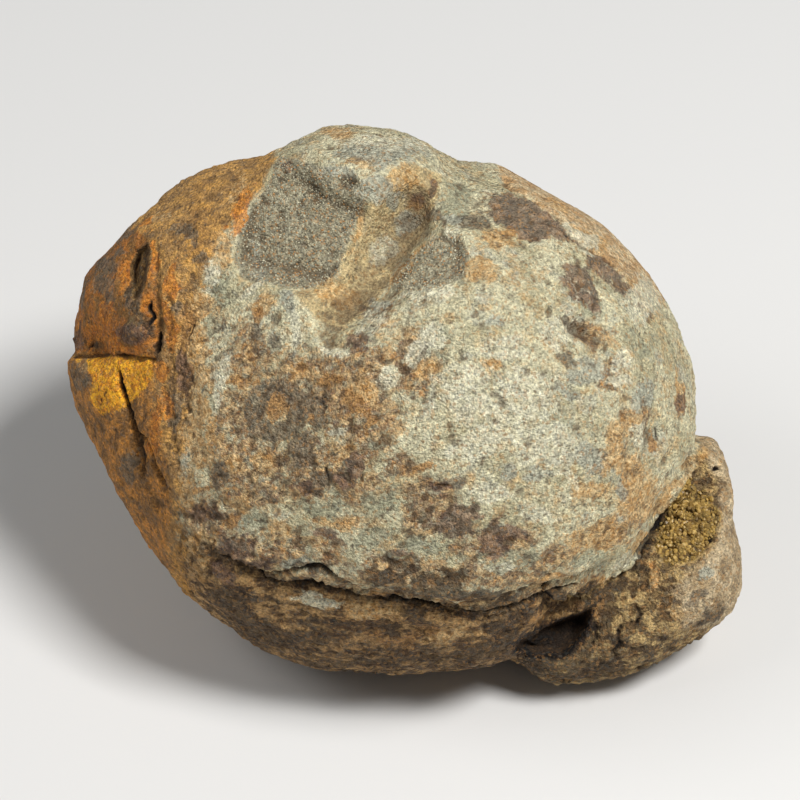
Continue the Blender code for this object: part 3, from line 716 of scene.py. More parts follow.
        (-15.4, -13.4, 1.6, 1.1, 15), (-4.1, -5.8, 0.9, 1.4), (-5.3, -7.4, 0.6, 0.7),
        (16.6, 10.0, 0.8, 1.2, 30), (5.4, -10.2, 2.4, 0.9, 10), (5.0, -11.0, 1.9, 1.2),
        (3.3, -7.1, 1.2, 0.4, -15), (-6.7, -12.1, 1.0, 0.5), (1.6, 18.2, 0.8, 0.6), (2.9, 19.6, 0.5, 0.7),
        (-10.0, 21.2, 0.6, 0.4), (8.9, -12.0, 2.3, 1.1, 10), (-13.1, -14.4, 2.3, 0.8, 12),
        (0.0, -13.9, 1.2, 0.5), (22.6, 8.0, 0.6, 0.8, 35), (25.6, -0.4, 0.3, 1.2, 8),
        (-24.6, 6.2, 1.6, 0.7), (-30.4, 5.6, 0.5, 0.8), (-16.0, -16.0, 1.6, 0.7, -30),
        (8.4, -13.3, 1.3, 0.6), (-19.7, 2.8, 0.45, 2.6),
    ],
}
print("marks:", {name: len(places) for name, places in MARKS.items()})

# %% Washes, by pigment
WASHES = {
    "pale": [(10.5, 0.0, 9.0, 8.0), (-2.0, 24.0, 9.0, 2.5), (14.0, 10.0, 7.0, 5.0)],
    "sage": [(0.0, -11.0, 14.0, 4.0), (8.0, 4.0, 14.0, 12.0), (-16.0, 6.0, 4.0, 6.0)],
    "slate": [(14.0, -2.0, 9.0, 7.0), (-10.0, 6.0, 6.0, 5.0), (0.0, -14.0, 12.0, 2.0)],
    "ochre": [
        (-9.0, 0.0, 9.0, 9.0), (20.0, -5.0, 7.0, 9.0), (-16.0, -6.0, 5.0, 8.0), (6.0, -17.0, 16.0, 3.0),
    ],
    "brown": [(-6.0, -2.0, 12.0, 10.0), (-18.0, 4.0, 4.0, 14.0), (2.0, -12.0, 10.0, 4.0)],
    "rusty": [(-6.0, 0.0, 7.0, 6.0), (-17.0, -2.0, 4.0, 8.0), (0.0, -17.0, 14.0, 2.0)],
    "orange": [(-24.0, 8.0, 7.0, 9.0)],
    "grey": [(-10.0, -1.0, 7.0, 8.0), (-26.0, 8.0, 6.0, 8.0)],
    # Painted shade: the umber washes darken the lower part of the stone.
    "umber": [(0.0, -24.0, 20.0, 4.0), (-21.0, -6.0, 3.0, 8.0), (20.0, -24.0, 8.0, 4.0)],
    "maroon": [(-12.0, -8.0, 9.0, 5.0), (5.0, -10.0, 9.0, 4.0), (-5.0, 0.0, 6.0, 6.0)],
}
WASH_STRENGTH = 0.34
# The hidden sides have no marks, only a faint wash of every pigment, stronger for the three common ones.
COMMON = ("ochre", "brown", "pale")
COMMON_BEHIND, RARE_BEHIND = 0.30, 0.16
print("washes:", sum(len(places) for places in WASHES.values()))

# %% Masks of the stains
# This noise starts from the clock unless it is given a seed.
RAGGED_SEED = 7


def ragged(points, size, amount):
    """Each point moved aside by smooth noise: an oval drawn on these gets a ragged outline."""
    seed_set(RAGGED_SEED)
    drift = [turbulence_vector(Vector(point) / size, 3, False) for point in points]
    return points + amount * np.array(drift)


def marks(places, strength):
    """The soft ovals of one pigment, which fade where the skin turns away."""
    total = np.zeros(len(skin))
    for u, v, width, height, *tilt in places:
        lean = math.radians(tilt[0] if tilt else 0.0)
        along = (plan[:, 0] - u) * math.cos(lean) + (plan[:, 1] - v) * math.sin(lean)
        up = (plan[:, 1] - v) * math.cos(lean) - (plan[:, 0] - u) * math.sin(lean)
        total = np.maximum(total, strength * np.exp(-0.75 * ((along / width) ** 2 + (up / height) ** 2)))
    return total * ease((skin[:, 2] + 6.0) / 6.0) * ease(outward[:, 2] / 0.3 + 0.3)


plan = ragged(skin, 2.4, 0.85)
clean = 1.0 - np.maximum.reduce([masks["sand"], masks["trough"], 0.7 * masks["margin"], 0.6 * masks["lobe"]])
for name, places in MARKS.items():
    behind = COMMON_BEHIND if name in COMMON else RARE_BEHIND
    wash = clean * (marks(WASHES[name], WASH_STRENGTH) + behind * sides)
    masks[name] = np.maximum(marks(places, 1.0), wash)
print("stains:", {name: int((masks[name] > 0.5).sum()) for name in MARKS})


# %% Stains that follow a form
def strengthen(name, mask):
    masks[name] = np.maximum(masks[name], mask)


# Along the seam the brown crust is strengthened, partly as painted shade under the dome's lip, and umber
# paints shade into the seam and over the lower part of the stone, darker towards the bottom. Maroon crusts
# lie on the shoulder, and the splinter is rusty.
by_seam = route_distance(skin[:, :2], SEAM)
strengthen("brown", 0.85 * np.exp(-((by_seam / 1.6) ** 2)) * facing_us)
strengthen("umber", 0.8 * np.exp(-((by_seam / 0.75) ** 2)) * facing_us)
strengthen("umber", 0.5 * ease((-18.0 - skin[:, 1]) / 6.0))
for outline in MAROON_ZONES:
    strengthen("maroon", zone(outline, 0.8))
splinter = zone(SPLINTER_ZONE, 0.3)
strengthen("ochre", splinter)
strengthen("orange", 0.45 * splinter)

# A grey ring on the dome: its middle and its two half widths.
RING_AT, RING_SIZE = (-11.0, -0.9), (2.4, 2.3)
from_ring = np.hypot((skin[:, 0] - RING_AT[0]) / RING_SIZE[0], (skin[:, 1] - RING_AT[1]) / RING_SIZE[1])
strengthen("grey", 1.3 * np.exp(-(((from_ring - 0.85) / 0.40) ** 2)) * facing_us)
masks["flecks"] = 0.4 * np.clip(masks["brown"] + masks["ochre"], 0.0, 1.0)
print("dirt by the seam:", int((by_seam < 0.75).sum()), "points")

# %% How rough and how broken the skin is
worn = np.maximum.reduce([masks["trough"], 0.6 * masks["margin"], 0.7 * masks["lobe"], 0.5 * masks["yellow"]])
masks["rough"] = 1.0 - 0.75 * worn
broken = np.maximum(masks["snout"] * (1 - masks["flank"]), 0.8 * masks["band"])
crust = np.clip(masks["brown"] + masks["maroon"], 0, 1) * facing_us
masks["chunky"] = np.clip(0.6 * masks["crystal"] + 0.35 * broken + 0.26 * crust, 0, 1)

mesh = stone.data
move_to(mesh, to_row(skin))
for name, mask in masks.items():
    keep(mesh, name, mask)
# Painted shade: the hollow by the snout is darkened, and the carving tree adds the shadow in the cracks.
keep(mesh, "crevice", 0.62 * ease(inside(skin[:, :2], HOLLOW) / 1.2) * facing_us)
keep(mesh, "out", outward @ TURN.T)
keep(mesh, "rest", to_row(skin))
print("stored:", len(masks), "masks;", int((masks["rough"] < 0.5).sum()), "points are smooth")

# %% [markdown]
# ## Short words for wiring nodes
#
# Node trees made in code get long, because each node takes a line to add and a line for each wire. A small
# class with short methods keeps a tree readable: each method adds one node and returns its output socket.


# %% Wiring
class Wiring:
    """Adds nodes to a tree and joins them. A value may be a number, a vector, a colour or a node's output."""

    def __init__(self, tree):
        self.tree = tree

    def node(self, kind, values=None, **settings):
        made = self.tree.nodes.new(kind)
        for name, value in settings.items():
            setattr(made, name, value)
        for socket, value in (values or {}).items():
            self.put(made.inputs[socket], value)
        return made

    def put(self, socket, value):
        if isinstance(value, bpy.types.NodeSocket):
            self.tree.links.new(value, socket)
        else:
            socket.default_value = value

    def math(self, operation, first, *others):
        """The operation on the first two values, then on that result and the next value, and so on."""
        result = first
        for other in others:
            result = self.node("ShaderNodeMath", {0: result, 1: other}, operation=operation).outputs[0]
        return result

    def vector(self, operation, first, second):
        made = self.node("ShaderNodeVectorMath", {0: first, 1: second}, operation=operation)
        return made.outputs["Value" if operation == "DOT_PRODUCT" else "Vector"]

    def times(self, vector, number):
        return self.node("ShaderNodeVectorMath", {0: vector, "Scale": number}, operation="SCALE").outputs[0]

    def centred(self, colour):
        """A noise's colour as a vector that points any way, 0 on average."""
        return self.vector("SUBTRACT", colour, (0.5, 0.5, 0.5))

    def swing(self, noise, amount):
        """Noise that swings about 0 instead of 0.5, times an amount."""
        return self.math("MULTIPLY", self.math("SUBTRACT", noise, 0.5), amount)

    def ramp(self, value, low, high, to_low=0.0, to_high=1.0):
        """Goes smoothly from one value to another while its input goes from low to high."""
        values = {0: value, 1: low, 2: high, 3: to_low, 4: to_high}
        return self.node("ShaderNodeMapRange", values, interpolation_type="SMOOTHSTEP").outputs[0]

    def cells(self, place, size):
        """A pattern of irregular cells about this size, in metres."""
        return self.node("ShaderNodeTexVoronoi", {"Vector": place, "Scale": 1.0 / size}).outputs

    def part(self, vector, index):
        return self.node("ShaderNodeSeparateXYZ", {0: vector}).outputs[index]


class Geometry(Wiring):
    """Wiring for a Geometry Nodes tree with named inputs: (name, socket type, default)."""

    def __init__(self, name, inputs):
        super().__init__(bpy.data.node_groups.new(name, "GeometryNodeTree"))
        face = self.tree.interface
        face.new_socket("Geometry", in_out="INPUT", socket_type="NodeSocketGeometry")
        for label, kind, default in inputs:
            socket = face.new_socket(label, in_out="INPUT", socket_type=kind)
            if default is not None:
                socket.default_value = default
        face.new_socket("Geometry", in_out="OUTPUT", socket_type="NodeSocketGeometry")
        self.given = self.node("NodeGroupInput").outputs
        self.result = self.node("NodeGroupOutput").inputs["Geometry"]
        self.place = self.node("GeometryNodeInputPosition").outputs[0]

    def stored(self, name, kind="FLOAT"):
        return self.node("GeometryNodeInputNamedAttribute", {"Name": name}, data_type=kind).outputs[0]

    def store(self, geometry, name, value, kind="FLOAT", **settings):
        values = {"Geometry": geometry, "Name": name, "Value": value}
        return self.node("GeometryNodeStoreNamedAttribute", values, data_type=kind, **settings).outputs[0]

    def push(self, geometry, direction, distance):
        values = {"Geometry": geometry, "Offset": self.times(direction, distance)}
        return self.node("GeometryNodeSetPosition", values).outputs[0]

    def use(self, obj, label, **values):
        """Gives an object the tree as a modifier, with its inputs set by their identifiers."""
        modifier = obj.modifiers.new(label, "NODES")
        modifier.node_group = self.tree
        inputs = [item for item in self.tree.interface.items_tree if item.in_out == "INPUT"]
        identifiers = {item.name: item.identifier for item in inputs}
        for name, value in values.items():
            modifier[identifiers[name.replace("_", " ")]] = value


print("words for wiring:", [word for word in vars(Wiring) if not word.startswith("_")])

# %% [markdown]
# ## Cracks, seams and edges
#
# A crack follows a path, so one Geometry Nodes tree carves them all: it measures how near each point of the
# skin is to the path and pushes the near ones in. The path runs out at both ends, its edges wander a
# little, and the tree records how deep it went, so that the paint can put a painted shadow in the crevice
# later. A negative depth raises a ridge. Where one shell laps over another, only the right-hand side of the
# path is pushed in, which leaves a step.

# %% The carving tree: its inputs and its path
carve = Geometry(
    "Carve along a path",
    [
        ("Path", "NodeSocketObject", None),
        ("Width", "NodeSocketFloat", 0.5 * MM),
        ("Depth", "NodeSocketFloat", 0.5 * MM),
        ("Wander", "NodeSocketFloat", 0.2 * MM),
        ("Ends", "NodeSocketFloat", 0.15),
        # How much painted shade the cut leaves in the crack.
        ("Dark", "NodeSocketFloat", 1.0),
        ("One Side", "NodeSocketFloat", 0.0),
    ],
)
WANDER_SIZE = 0.9 * MM
PATH_STEP = 0.2 * MM

given = carve.given
rest = carve.stored("rest", "FLOAT_VECTOR")
lumps = carve.node("ShaderNodeTexNoise", {"Vector": rest, "Scale": 1.0 / WANDER_SIZE}).outputs["Color"]
aside = carve.times(carve.centred(lumps), carve.math("MULTIPLY", given["Wander"], 3.0))
wandered = carve.vector("ADD", rest, aside)

drawn = carve.node("GeometryNodeObjectInfo", {"Object": given["Path"]}).outputs["Geometry"]
drawn = carve.node("GeometryNodeCurveSplineType", {"Curve": drawn}, spline_type="CATMULL_ROM").outputs[0]
steps = {"Curve": drawn, "Length": PATH_STEP}
drawn = carve.node("GeometryNodeResampleCurve", steps, mode="LENGTH").outputs[0]
along = carve.node("GeometryNodeSplineParameter").outputs["Factor"]
from_end = carve.math("MINIMUM", along, carve.math("SUBTRACT", 1.0, along))
drawn = carve.store(drawn, "strength", carve.ramp(from_end, 0.0, given["Ends"]))
drawn = carve.store(drawn, "heading", carve.node("GeometryNodeInputTangent").outputs[0], "FLOAT_VECTOR")
drawn = carve.node("GeometryNodeCurveToMesh", {"Curve": drawn}).outputs[0]
print("carving tree, up to its path:", len(carve.tree.nodes), "nodes")

# %% The carving tree: how deep each point goes
at_this_point = {"Geometry": drawn, "Sample Position": wandered}


def at_nearest(name, kind):
    """A value stored on the path, read at the path's nearest point."""
    index = carve.node("GeometryNodeSampleNearest", at_this_point).outputs[0]
    values = {"Geometry": drawn, "Value": carve.stored(name, kind), "Index": index}
    return carve.node("GeometryNodeSampleIndex", values, data_type=kind).outputs[0]


nearest = carve.node("GeometryNodeProximity", at_this_point, target_element="EDGES").outputs
here = at_nearest("strength", "FLOAT")
out = carve.stored("out", "FLOAT_VECTOR")
right_hand = carve.vector("CROSS_PRODUCT", at_nearest("heading", "FLOAT_VECTOR"), out)
to_right = carve.vector("DOT_PRODUCT", carve.vector("SUBTRACT", wandered, nearest["Position"]), right_hand)
stepped = carve.ramp(to_right, -0.08 * MM, 0.10 * MM)
sided = carve.node("ShaderNodeMix", {0: given["One Side"], 2: 1.0, 3: stepped}).outputs[0]
# The cut narrows towards its ends, down to about a third of its width.
narrowed = carve.math("ADD", 0.35, carve.math("MULTIPLY", here, 0.65))
reach = carve.math("MULTIPLY", given["Width"], narrowed)
cut = carve.math("MULTIPLY", carve.ramp(nearest["Distance"], 0.0, reach, 1.0, 0.0), here, sided)

moved = carve.push(given["Geometry"], out, carve.math("MULTIPLY", cut, given["Depth"], -1.0))
# The deeper a point is cut, the more painted shadow it gets.
crevice_shading = carve.math("MAXIMUM", carve.stored("crevice"), carve.math("MULTIPLY", cut, given["Dark"]))
carve.put(carve.result, carve.store(moved, "crevice", crevice_shading))
print("carving tree:", len(carve.tree.nodes), "nodes")


# %% Drop the routes onto the stone and carve them
DROP_FROM = 60.0


def path_object(name, routes, surface):
    """A curve of straight runs through the routes' spots, each dropped straight down onto the stone."""
    down = Vector(-TURN[:, 2])
    curve = bpy.data.curves.new(name, "CURVE")
    curve.dimensions = "3D"
    for route in routes:
        drops = [surface.ray_cast(Vector(to_row((u, v, DROP_FROM))), down)[0] for u, v in route]
        landed = [place for place in drops if place is not None]
        spline = curve.splines.new("POLY")
        spline.points.add(len(landed) - 1)
        for point, place in zip(spline.points, landed):
            point.co = (*place, 1.0)
    made = bpy.data.objects.new(name, curve)
    bpy.context.scene.collection.objects.link(made)
    return made


# Each pass: routes, width and depth in mm, how far the edges wander in mm, the share of the route over
# which its ends fade, how much painted shade goes into its bottom, and 1 where only the right-hand side is
# pushed in.
PASSES = {
    "strips": (STRIPS, 0.9, 0.25, 1.0, 0.3, 0.2, 0.0),
    "seam_step": ([SEAM], 2.6, 0.8, 0.2, 0.1, 0.3, 1.0),
    "seam": ([SEAM], 0.55, 0.8, 0.25, 0.12, 1.6, 0.0),
    "lip_step": ([LIP], 2.6, 1.0, 0.25, 0.08, 0.3, 1.0),
    "lip": ([LIP], 0.7, 0.9, 0.4, 0.1, 1.3, 1.0),
    "recesses": (RECESSES, 1.3, 0.35, 0.6, 0.3, 0.45, 0.0),
    "arches": (ARCHES, 1.2, 0.8, 0.2, 0.2, 0.9, 1.0),
    "lip_gap": ([LIP_GAP], 1.1, 0.8, 0.3, 0.25, 0.5, 0.0),
    "splinter": ([SPLINTER], 0.7, -0.6, 0.1, 0.2, 0.0, 0.0),
    "low_ledge": ([LOW_LEDGE], 0.9, -0.4, 0.35, 0.2, 0.0, 0.0),
    "snout_cracks": (SNOUT_CRACKS, 0.5, 0.5, 0.5, 0.3, 0.8, 0.0),
    "hinge": ([HINGE], 0.8, 0.35, 0.2, 0.15, 0.3, 0.0),
    "slot": ([HINGE_SLOT, TOOTH_LINE], 0.35, 0.6, 0.15, 0.3, 1.2, 0.0),
    "fold": ([FOLD], 0.8, 0.6, 0.12, 0.03, 0.25, 1.0),
    "fold_gap": ([FOLD_GAP], 0.35, 0.2, 0.1, 0.3, 0.8, 0.0),
    "beak_crack": ([BEAK_CRACK], 0.5, 1.1, 0.15, 0.12, 1.3, 0.0),
    "beak_branch": ([BEAK_BRANCH], 0.7, 0.5, 0.2, 0.2, 0.6, 0.0),
    "fine_cracks": (FINE_CRACKS, 0.30, 0.2, 0.3, 0.4, 0.7, 0.0),
    "peel": ([PEEL], 0.8, 0.35, 0.15, 0.1, 0.25, 0.0),
    "tip_lines": (TIP_LINES, 0.25, 0.08, 0.2, 0.3, 0.25, 0.0),
    "dimples": (DIMPLES, 1.4, 0.8, 0.2, 0.35, 0.45, 0.0),
    "holes": (HOLES, 0.6, 0.9, 0.1, 0.4, 1.5, 0.0),
}
surface = BVHTree.FromPolygons([v.co for v in mesh.vertices], [face.vertices[:] for face in mesh.polygons])
paths = []
for name, (routes, width, depth, wander, ends, dark, one_side) in PASSES.items():
    path = path_object(name, routes, surface)
    paths.append(path)
    sizes = {"Width": width * MM, "Depth": depth * MM, "Wander": wander * MM}
    carve.use(stone, name, Path=path, Ends=ends, Dark=dark, One_Side=one_side, **sizes)
bake_modifiers(stone)
for path in paths:
    bpy.data.objects.remove(path)
print("carved", len(PASSES), "passes")

# %% [markdown]
# ## Weathering
#
# A stone's skin is rough at every scale: low swells, small lumps, pits, and grains of sand. A second tree
# moves each point in and out by several noises at once, and the masks steer it. Smooth zones are spared.
# Crusts grow nodules. Broken zones are split into little flat chips, each tilted its own way, by a Voronoi
# pattern. At the end the tree compares the skin with a blurred copy of itself, and stores how far each
# point stands out of it: the hollows get negative values, which the paint turns into painted shade, and the
# ridges positive ones, which it turns into a painted highlight.

# %% The weathering tree: swells, lumps, grain and pits
weather = Geometry(
    "Weather a skin",
    [
        ("Swell", "NodeSocketFloat", 0.30 * MM),
        ("Lump", "NodeSocketFloat", 0.22 * MM),
        ("Grain", "NodeSocketFloat", 0.13 * MM),
        ("Pit", "NodeSocketFloat", 0.18 * MM),
        ("Nodule", "NodeSocketFloat", 0.36 * MM),
        ("Chip", "NodeSocketFloat", 0.7 * MM),
        ("Seed", "NodeSocketFloat", 3.0),
    ],
)
# Each noise: the input that sets its height, the size of its lumps, and how many finer layers it has.
CLOUDS = [("Swell", 4.5 * MM, 2.0), ("Lump", 1.5 * MM, 3.0), ("Grain", 0.5 * MM, 2.0)]
PIT_SPACING = 2.2 * MM
NODULE_SIZE = 0.9 * MM
CHIP_SIZE = 1.1 * MM

given = weather.given
rise = 0.0
for label, size, detail in CLOUDS:
    recipe = {
        "Vector": weather.place,
        "W": given["Seed"],
        "Scale": 1.0 / size,
        "Detail": detail,
        "Roughness": 0.55,
    }
    cloud = weather.node("ShaderNodeTexNoise", recipe, noise_dimensions="4D").outputs[0]
    rise = weather.math("ADD", rise, weather.swing(cloud, weather.math("MULTIPLY", given[label], 3.0)))

pits = weather.cells(weather.place, PIT_SPACING)
chosen = weather.ramp(weather.part(pits["Color"], 0), 0.72, 0.80)
dish = weather.math("MULTIPLY", weather.ramp(pits["Distance"], 0.05, 0.42, 1.0, 0.0), chosen, given["Pit"])
rise = weather.math("MULTIPLY", weather.math("SUBTRACT", rise, dish), weather.stored("rough"))
print("weathering tree, up to its pits:", len(weather.tree.nodes), "nodes")

# %% The weathering tree: nodules and chips
nodules = weather.cells(weather.place, NODULE_SIZE)
domed = weather.ramp(nodules["Distance"], 0.0, 0.6, 1.0, 0.0)
uneven = weather.ramp(weather.part(nodules["Color"], 0), 0.3, 0.6, 1.0, 0.2)
crusted = weather.ramp(weather.math("MAXIMUM", weather.stored("brown"), weather.stored("maroon")), 0.3, 0.7)
rise = weather.math("ADD", rise, weather.math("MULTIPLY", domed, uneven, crusted, given["Nodule"]))

chips = weather.cells(weather.place, CHIP_SIZE)
lean = weather.centred(chips["Color"])
from_middle = weather.times(weather.vector("SUBTRACT", weather.place, chips["Position"]), 2.0 / CHIP_SIZE)
height_of_chips = weather.math("MULTIPLY", given["Chip"], weather.stored("chunky"))
tilt = weather.math("MULTIPLY", weather.vector("DOT_PRODUCT", from_middle, lean), height_of_chips)
out = weather.stored("out", "FLOAT_VECTOR")
moved = weather.push(given["Geometry"], out, weather.math("ADD", rise, tilt))

blur = {"Value": weather.place, "Iterations": 10}
blurred = weather.node("GeometryNodeBlurAttribute", blur, data_type="FLOAT_VECTOR").outputs[0]
above = weather.vector("DOT_PRODUCT", weather.vector("SUBTRACT", weather.place, blurred), out)
weather.put(weather.result, weather.store(moved, "relief", weather.math("DIVIDE", above, 0.1 * MM)))
weather.use(stone, "weather", Seed=3.0)
mesh = bake_modifiers(stone)
print("weathering tree:", len(weather.tree.nodes), "nodes")

# %% Keep the skin inside the solid's box
HAIR = 1e-6
low, high = (np.array(corner) for corner in cad_box)
places = np.clip(places_of(mesh), low + HAIR, high - HAIR)
move_to(mesh, places)
mesh.shade_smooth()
print("skin lies between", np.round(places.min(axis=0) / MM, 2), "and", np.round(places.max(axis=0) / MM, 2))

# %% [markdown]
# ## Stone
#
# Old stone has no single colour. Its clean skin is cream and sage, iron water has stained it ochre and
# rust, and manganese has left maroon crusts. The material lays them over each other, the zones first and
# the small marks last; the umber and hollow layers among them are painted shade. Each layer is cut from a
# mask plus noise, so its edge is torn, and it mixes two tones of its own. Speckle and a fine bump go over
# everything, as sand grains and dust do, with painted shade in the hollows and cracks and a painted
# highlight on the ridges.


# %% Paint helpers
def paint(red, green, blue):
    """A colour as a painter reads it from a chart, 0 to 255, in Blender's linear values."""
    channels = [channel / 255 for channel in (red, green, blue)]
    return (*(c / 12.92 if c <= 0.04045 else ((c + 0.055) / 1.055) ** 2.4 for c in channels), 1.0)


class Painter(Wiring):
    """Wiring for a material, with words for layers."""

    def __init__(self, name):
        self.material = bpy.data.materials.new(name)
        self.material.use_nodes = True
        super().__init__(self.material.node_tree)
        self.shader = self.tree.nodes["Principled BSDF"]
        self.place = self.node("ShaderNodeTexCoord").outputs["Object"]
        self.clouds = {}
        self.dust = self.cloud(0.24, detail=2.0, roughness=0.7)

    def mask(self, name):
        return self.node("ShaderNodeAttribute", attribute_name=name).outputs["Fac"]

    def over(self, below, above, share):
        """Lays one colour over another."""
        return self.node("ShaderNodeMix", {0: share, 6: below, 7: above}, data_type="RGBA").outputs[2]

    def dim(self, colour, amount):
        grey = self.node("ShaderNodeCombineColor", {0: amount, 1: amount, 2: amount}).outputs[0]
        mixed = {0: 1.0, 6: colour, 7: grey}
        return self.node("ShaderNodeMix", mixed, data_type="RGBA", blend_type="MULTIPLY").outputs[2]

    def cloud(self, size, detail=6.0, roughness=0.66, seed=0.0, stretch=1.0):
        """Noise from a place of its own, drawn out sideways by a stretch, and kept for other layers."""
        recipe = (size, detail, roughness, seed, stretch)
        if recipe not in self.clouds:
            place = self.place
            if stretch != 1.0:
                place = self.vector("MULTIPLY", place, (1.0 / stretch, 1.0, 1.0))
            if seed:
                place = self.vector("ADD", place, (seed * 0.317, seed * 0.113, seed * 0.271))
            values = {"Vector": place, "Scale": 1.0 / (size * MM), "Detail": detail, "Roughness": roughness}
            self.clouds[recipe] = self.node("ShaderNodeTexNoise", values).outputs[0]
        return self.clouds[recipe]

    def two_tone(self, light, dark, share):
        return self.over(paint(*light), paint(*dark), share)

    def torn(self, mask, size, spread, crisp, seed):
        """Cuts a soft mask along an edge that noise has torn, down to single grains."""
        drift = self.math("ADD", self.swing(self.cloud(size, seed=seed), spread), self.swing(self.dust, 0.25))
        return self.ramp(self.math("ADD", mask, drift), 0.5 - crisp, 0.5 + crisp)


print("chart grey 128 is", round(paint(128, 128, 128)[0], 3), "in linear light")

# %% The stone's layers
# Each: mask, light tone, dark tone, how the tones mix, the size of its lumps in mm, how far its edge is
# torn, how soft the edge is, and how much it covers.
LAYERS = [
    ("brown", (200, 168, 120), (134, 106, 76), "crust", 1.2, 1.6, 0.12, 0.85),
    ("flecks", (226, 192, 138), (206, 144, 74), "fine", 0.9, 2.0, 0.10, 0.75),
    ("flecks", (116, 84, 64), (142, 108, 82), "fine", 0.7, 2.0, 0.10, 0.65),
    ("flecks", (166, 162, 134), (192, 188, 160), "fine", 0.8, 2.0, 0.10, 0.65),
    ("sage", (182, 180, 149), (154, 153, 126), "fine", 1.3, 1.4, 0.14, 0.75),
    ("band", (188, 150, 98), (92, 68, 44), "streak", 1.6, 0.9, 0.16, 1.0),
    ("margin", (226, 200, 156), (196, 154, 104), "broad", 1.4, 0.9, 0.12, 0.9),
    ("rust", (216, 160, 80), (166, 122, 66), "broad", 1.8, 1.1, 0.14, 0.9),
    ("beak", (206, 138, 60), (140, 100, 56), "broad", 1.4, 0.9, 0.16, 0.9),
    ("lobe", (194, 118, 42), (140, 98, 48), "broad", 1.6, 0.8, 0.16, 0.9),
    ("yellow", (255, 186, 48), (222, 142, 38), "fine", 1.0, 0.5, 0.10, 1.0),
    ("tongue", (144, 128, 90), (120, 92, 56), "fine", 0.8, 0.5, 0.15, 0.8),
    ("snout", (198, 168, 114), (104, 82, 54), "streak", 1.4, 0.4, 0.12, 1.0),
    ("flank", (216, 194, 156), (178, 154, 118), "broad", 1.6, 0.8, 0.20, 0.9),
    ("sand", (180, 172, 144), (146, 138, 112), "fine", 0.8, 0.35, 0.10, 1.0),
    ("trough", (214, 192, 142), (192, 170, 126), "broad", 2.4, 0.35, 0.12, 1.0),
    ("ochre", (224, 190, 136), (190, 142, 80), "fine", 1.0, 1.6, 0.16, 0.8),
    ("grey", (134, 120, 98), (94, 82, 66), "fine", 0.9, 1.6, 0.14, 0.8),
    ("rusty", (192, 146, 88), (156, 112, 64), "fine", 0.8, 1.6, 0.14, 0.85),
    ("orange", (226, 146, 54), (186, 110, 40), "fine", 0.8, 1.5, 0.14, 0.8),
    ("maroon", (134, 104, 84), (96, 72, 60), "crust", 0.8, 1.6, 0.14, 0.8),
    ("slate", (184, 184, 164), (160, 158, 140), "fine", 0.8, 1.5, 0.16, 0.8),
    # Painted shade: umber darkens the recesses, the seam, the gap under the lip and the lower edge of the
    # stone.
    ("umber", (96, 78, 56), (56, 44, 32), "fine", 0.9, 1.5, 0.16, 0.85),
    ("pale", (233, 228, 200), (219, 212, 178), "fine", 1.0, 1.5, 0.16, 0.75),
    ("crystal", (176, 146, 80), (134, 108, 56), "fine", 0.8, 0.5, 0.10, 1.0),
    ("hole", (138, 110, 66), (78, 58, 34), "fine", 0.8, 0.3, 0.10, 0.9),
    # Painted shade: the dark shadow inside the hollow by the snout.
    ("hollow", (52, 38, 27), (22, 16, 12), "crust", 0.8, 0.4, 0.15, 1.0),
]
print("layers:", len(LAYERS), "from", len({layer[0] for layer in LAYERS}), "masks")

# %% Clean skin, and the layers over it
BEND_SIZE = 0.8 * MM

painter = Painter("iron_stained_stone")
bend = {"Vector": painter.place, "Scale": 1.0 / BEND_SIZE}
bend_by = painter.centred(painter.node("ShaderNodeTexNoise", bend).outputs["Color"])
bent = painter.vector("ADD", painter.place, painter.times(bend_by, NODULE_SIZE))
crust_cells = painter.cells(bent, NODULE_SIZE)
tones = {
    "fine": painter.ramp(painter.cloud(0.6, seed=9.0), 0.42, 0.60),
    "broad": painter.ramp(painter.cloud(1.4, seed=9.0), 0.42, 0.58),
    "streak": painter.ramp(painter.cloud(0.9, seed=9.0, stretch=2.6), 0.42, 0.58),
    "crust": painter.ramp(painter.part(crust_cells["Color"], 0), 0.30, 0.62),
}
# The clean skin: cream, with faint clouds of ochre and grey.
colour = painter.two_tone((221, 213, 176), (196, 187, 149), painter.ramp(painter.cloud(4.0), 0.42, 0.60))
faint_ochre = painter.ramp(painter.cloud(1.8, seed=2.0), 0.48, 0.66, 0.0, 0.8)
colour = painter.over(colour, paint(206, 176, 126), faint_ochre)
faint_grey = painter.ramp(painter.cloud(2.6, seed=1.0), 0.52, 0.68, 0.0, 0.6)
colour = painter.over(colour, paint(190, 190, 172), faint_grey)
for seed, (name, light, dark, grain, size, spread, crisp, share) in enumerate(LAYERS, start=3):
    edge = painter.torn(painter.mask(name), size, spread, crisp, seed)
    tone = painter.two_tone(light, dark, tones[grain])
    colour = painter.over(colour, tone, painter.math("MULTIPLY", edge, share))
print("painted so far:", len(painter.tree.nodes), "nodes")

# %% Speckle, painted shade in the hollows, and a painted highlight on the ridges
GRAIN_SIZE = 0.26 * MM

grains = painter.cells(painter.place, GRAIN_SIZE)
medium = painter.cloud(0.9, seed=11.0)
relief = painter.mask("relief")
lot = painter.part(grains["Color"], 0)
patchy = painter.ramp(painter.cloud(3.0, seed=14.0), 0.35, 0.60, 0.35, 1.0)
# About a fifth of the grains are dark and a quarter light, and there are fewer of both in some patches.
dark_grains = painter.ramp(lot, 0.0, 0.22, -0.36, 0.0)
light_grains = painter.ramp(lot, 0.76, 1.0, 0.0, 0.36)
speck = painter.math("MULTIPLY", painter.math("ADD", dark_grains, light_grains), patchy)
dusty = painter.ramp(painter.dust, 0.3, 0.7, -0.36, 0.36)
cloudy = painter.ramp(medium, 0.3, 0.7, -0.20, 0.20)
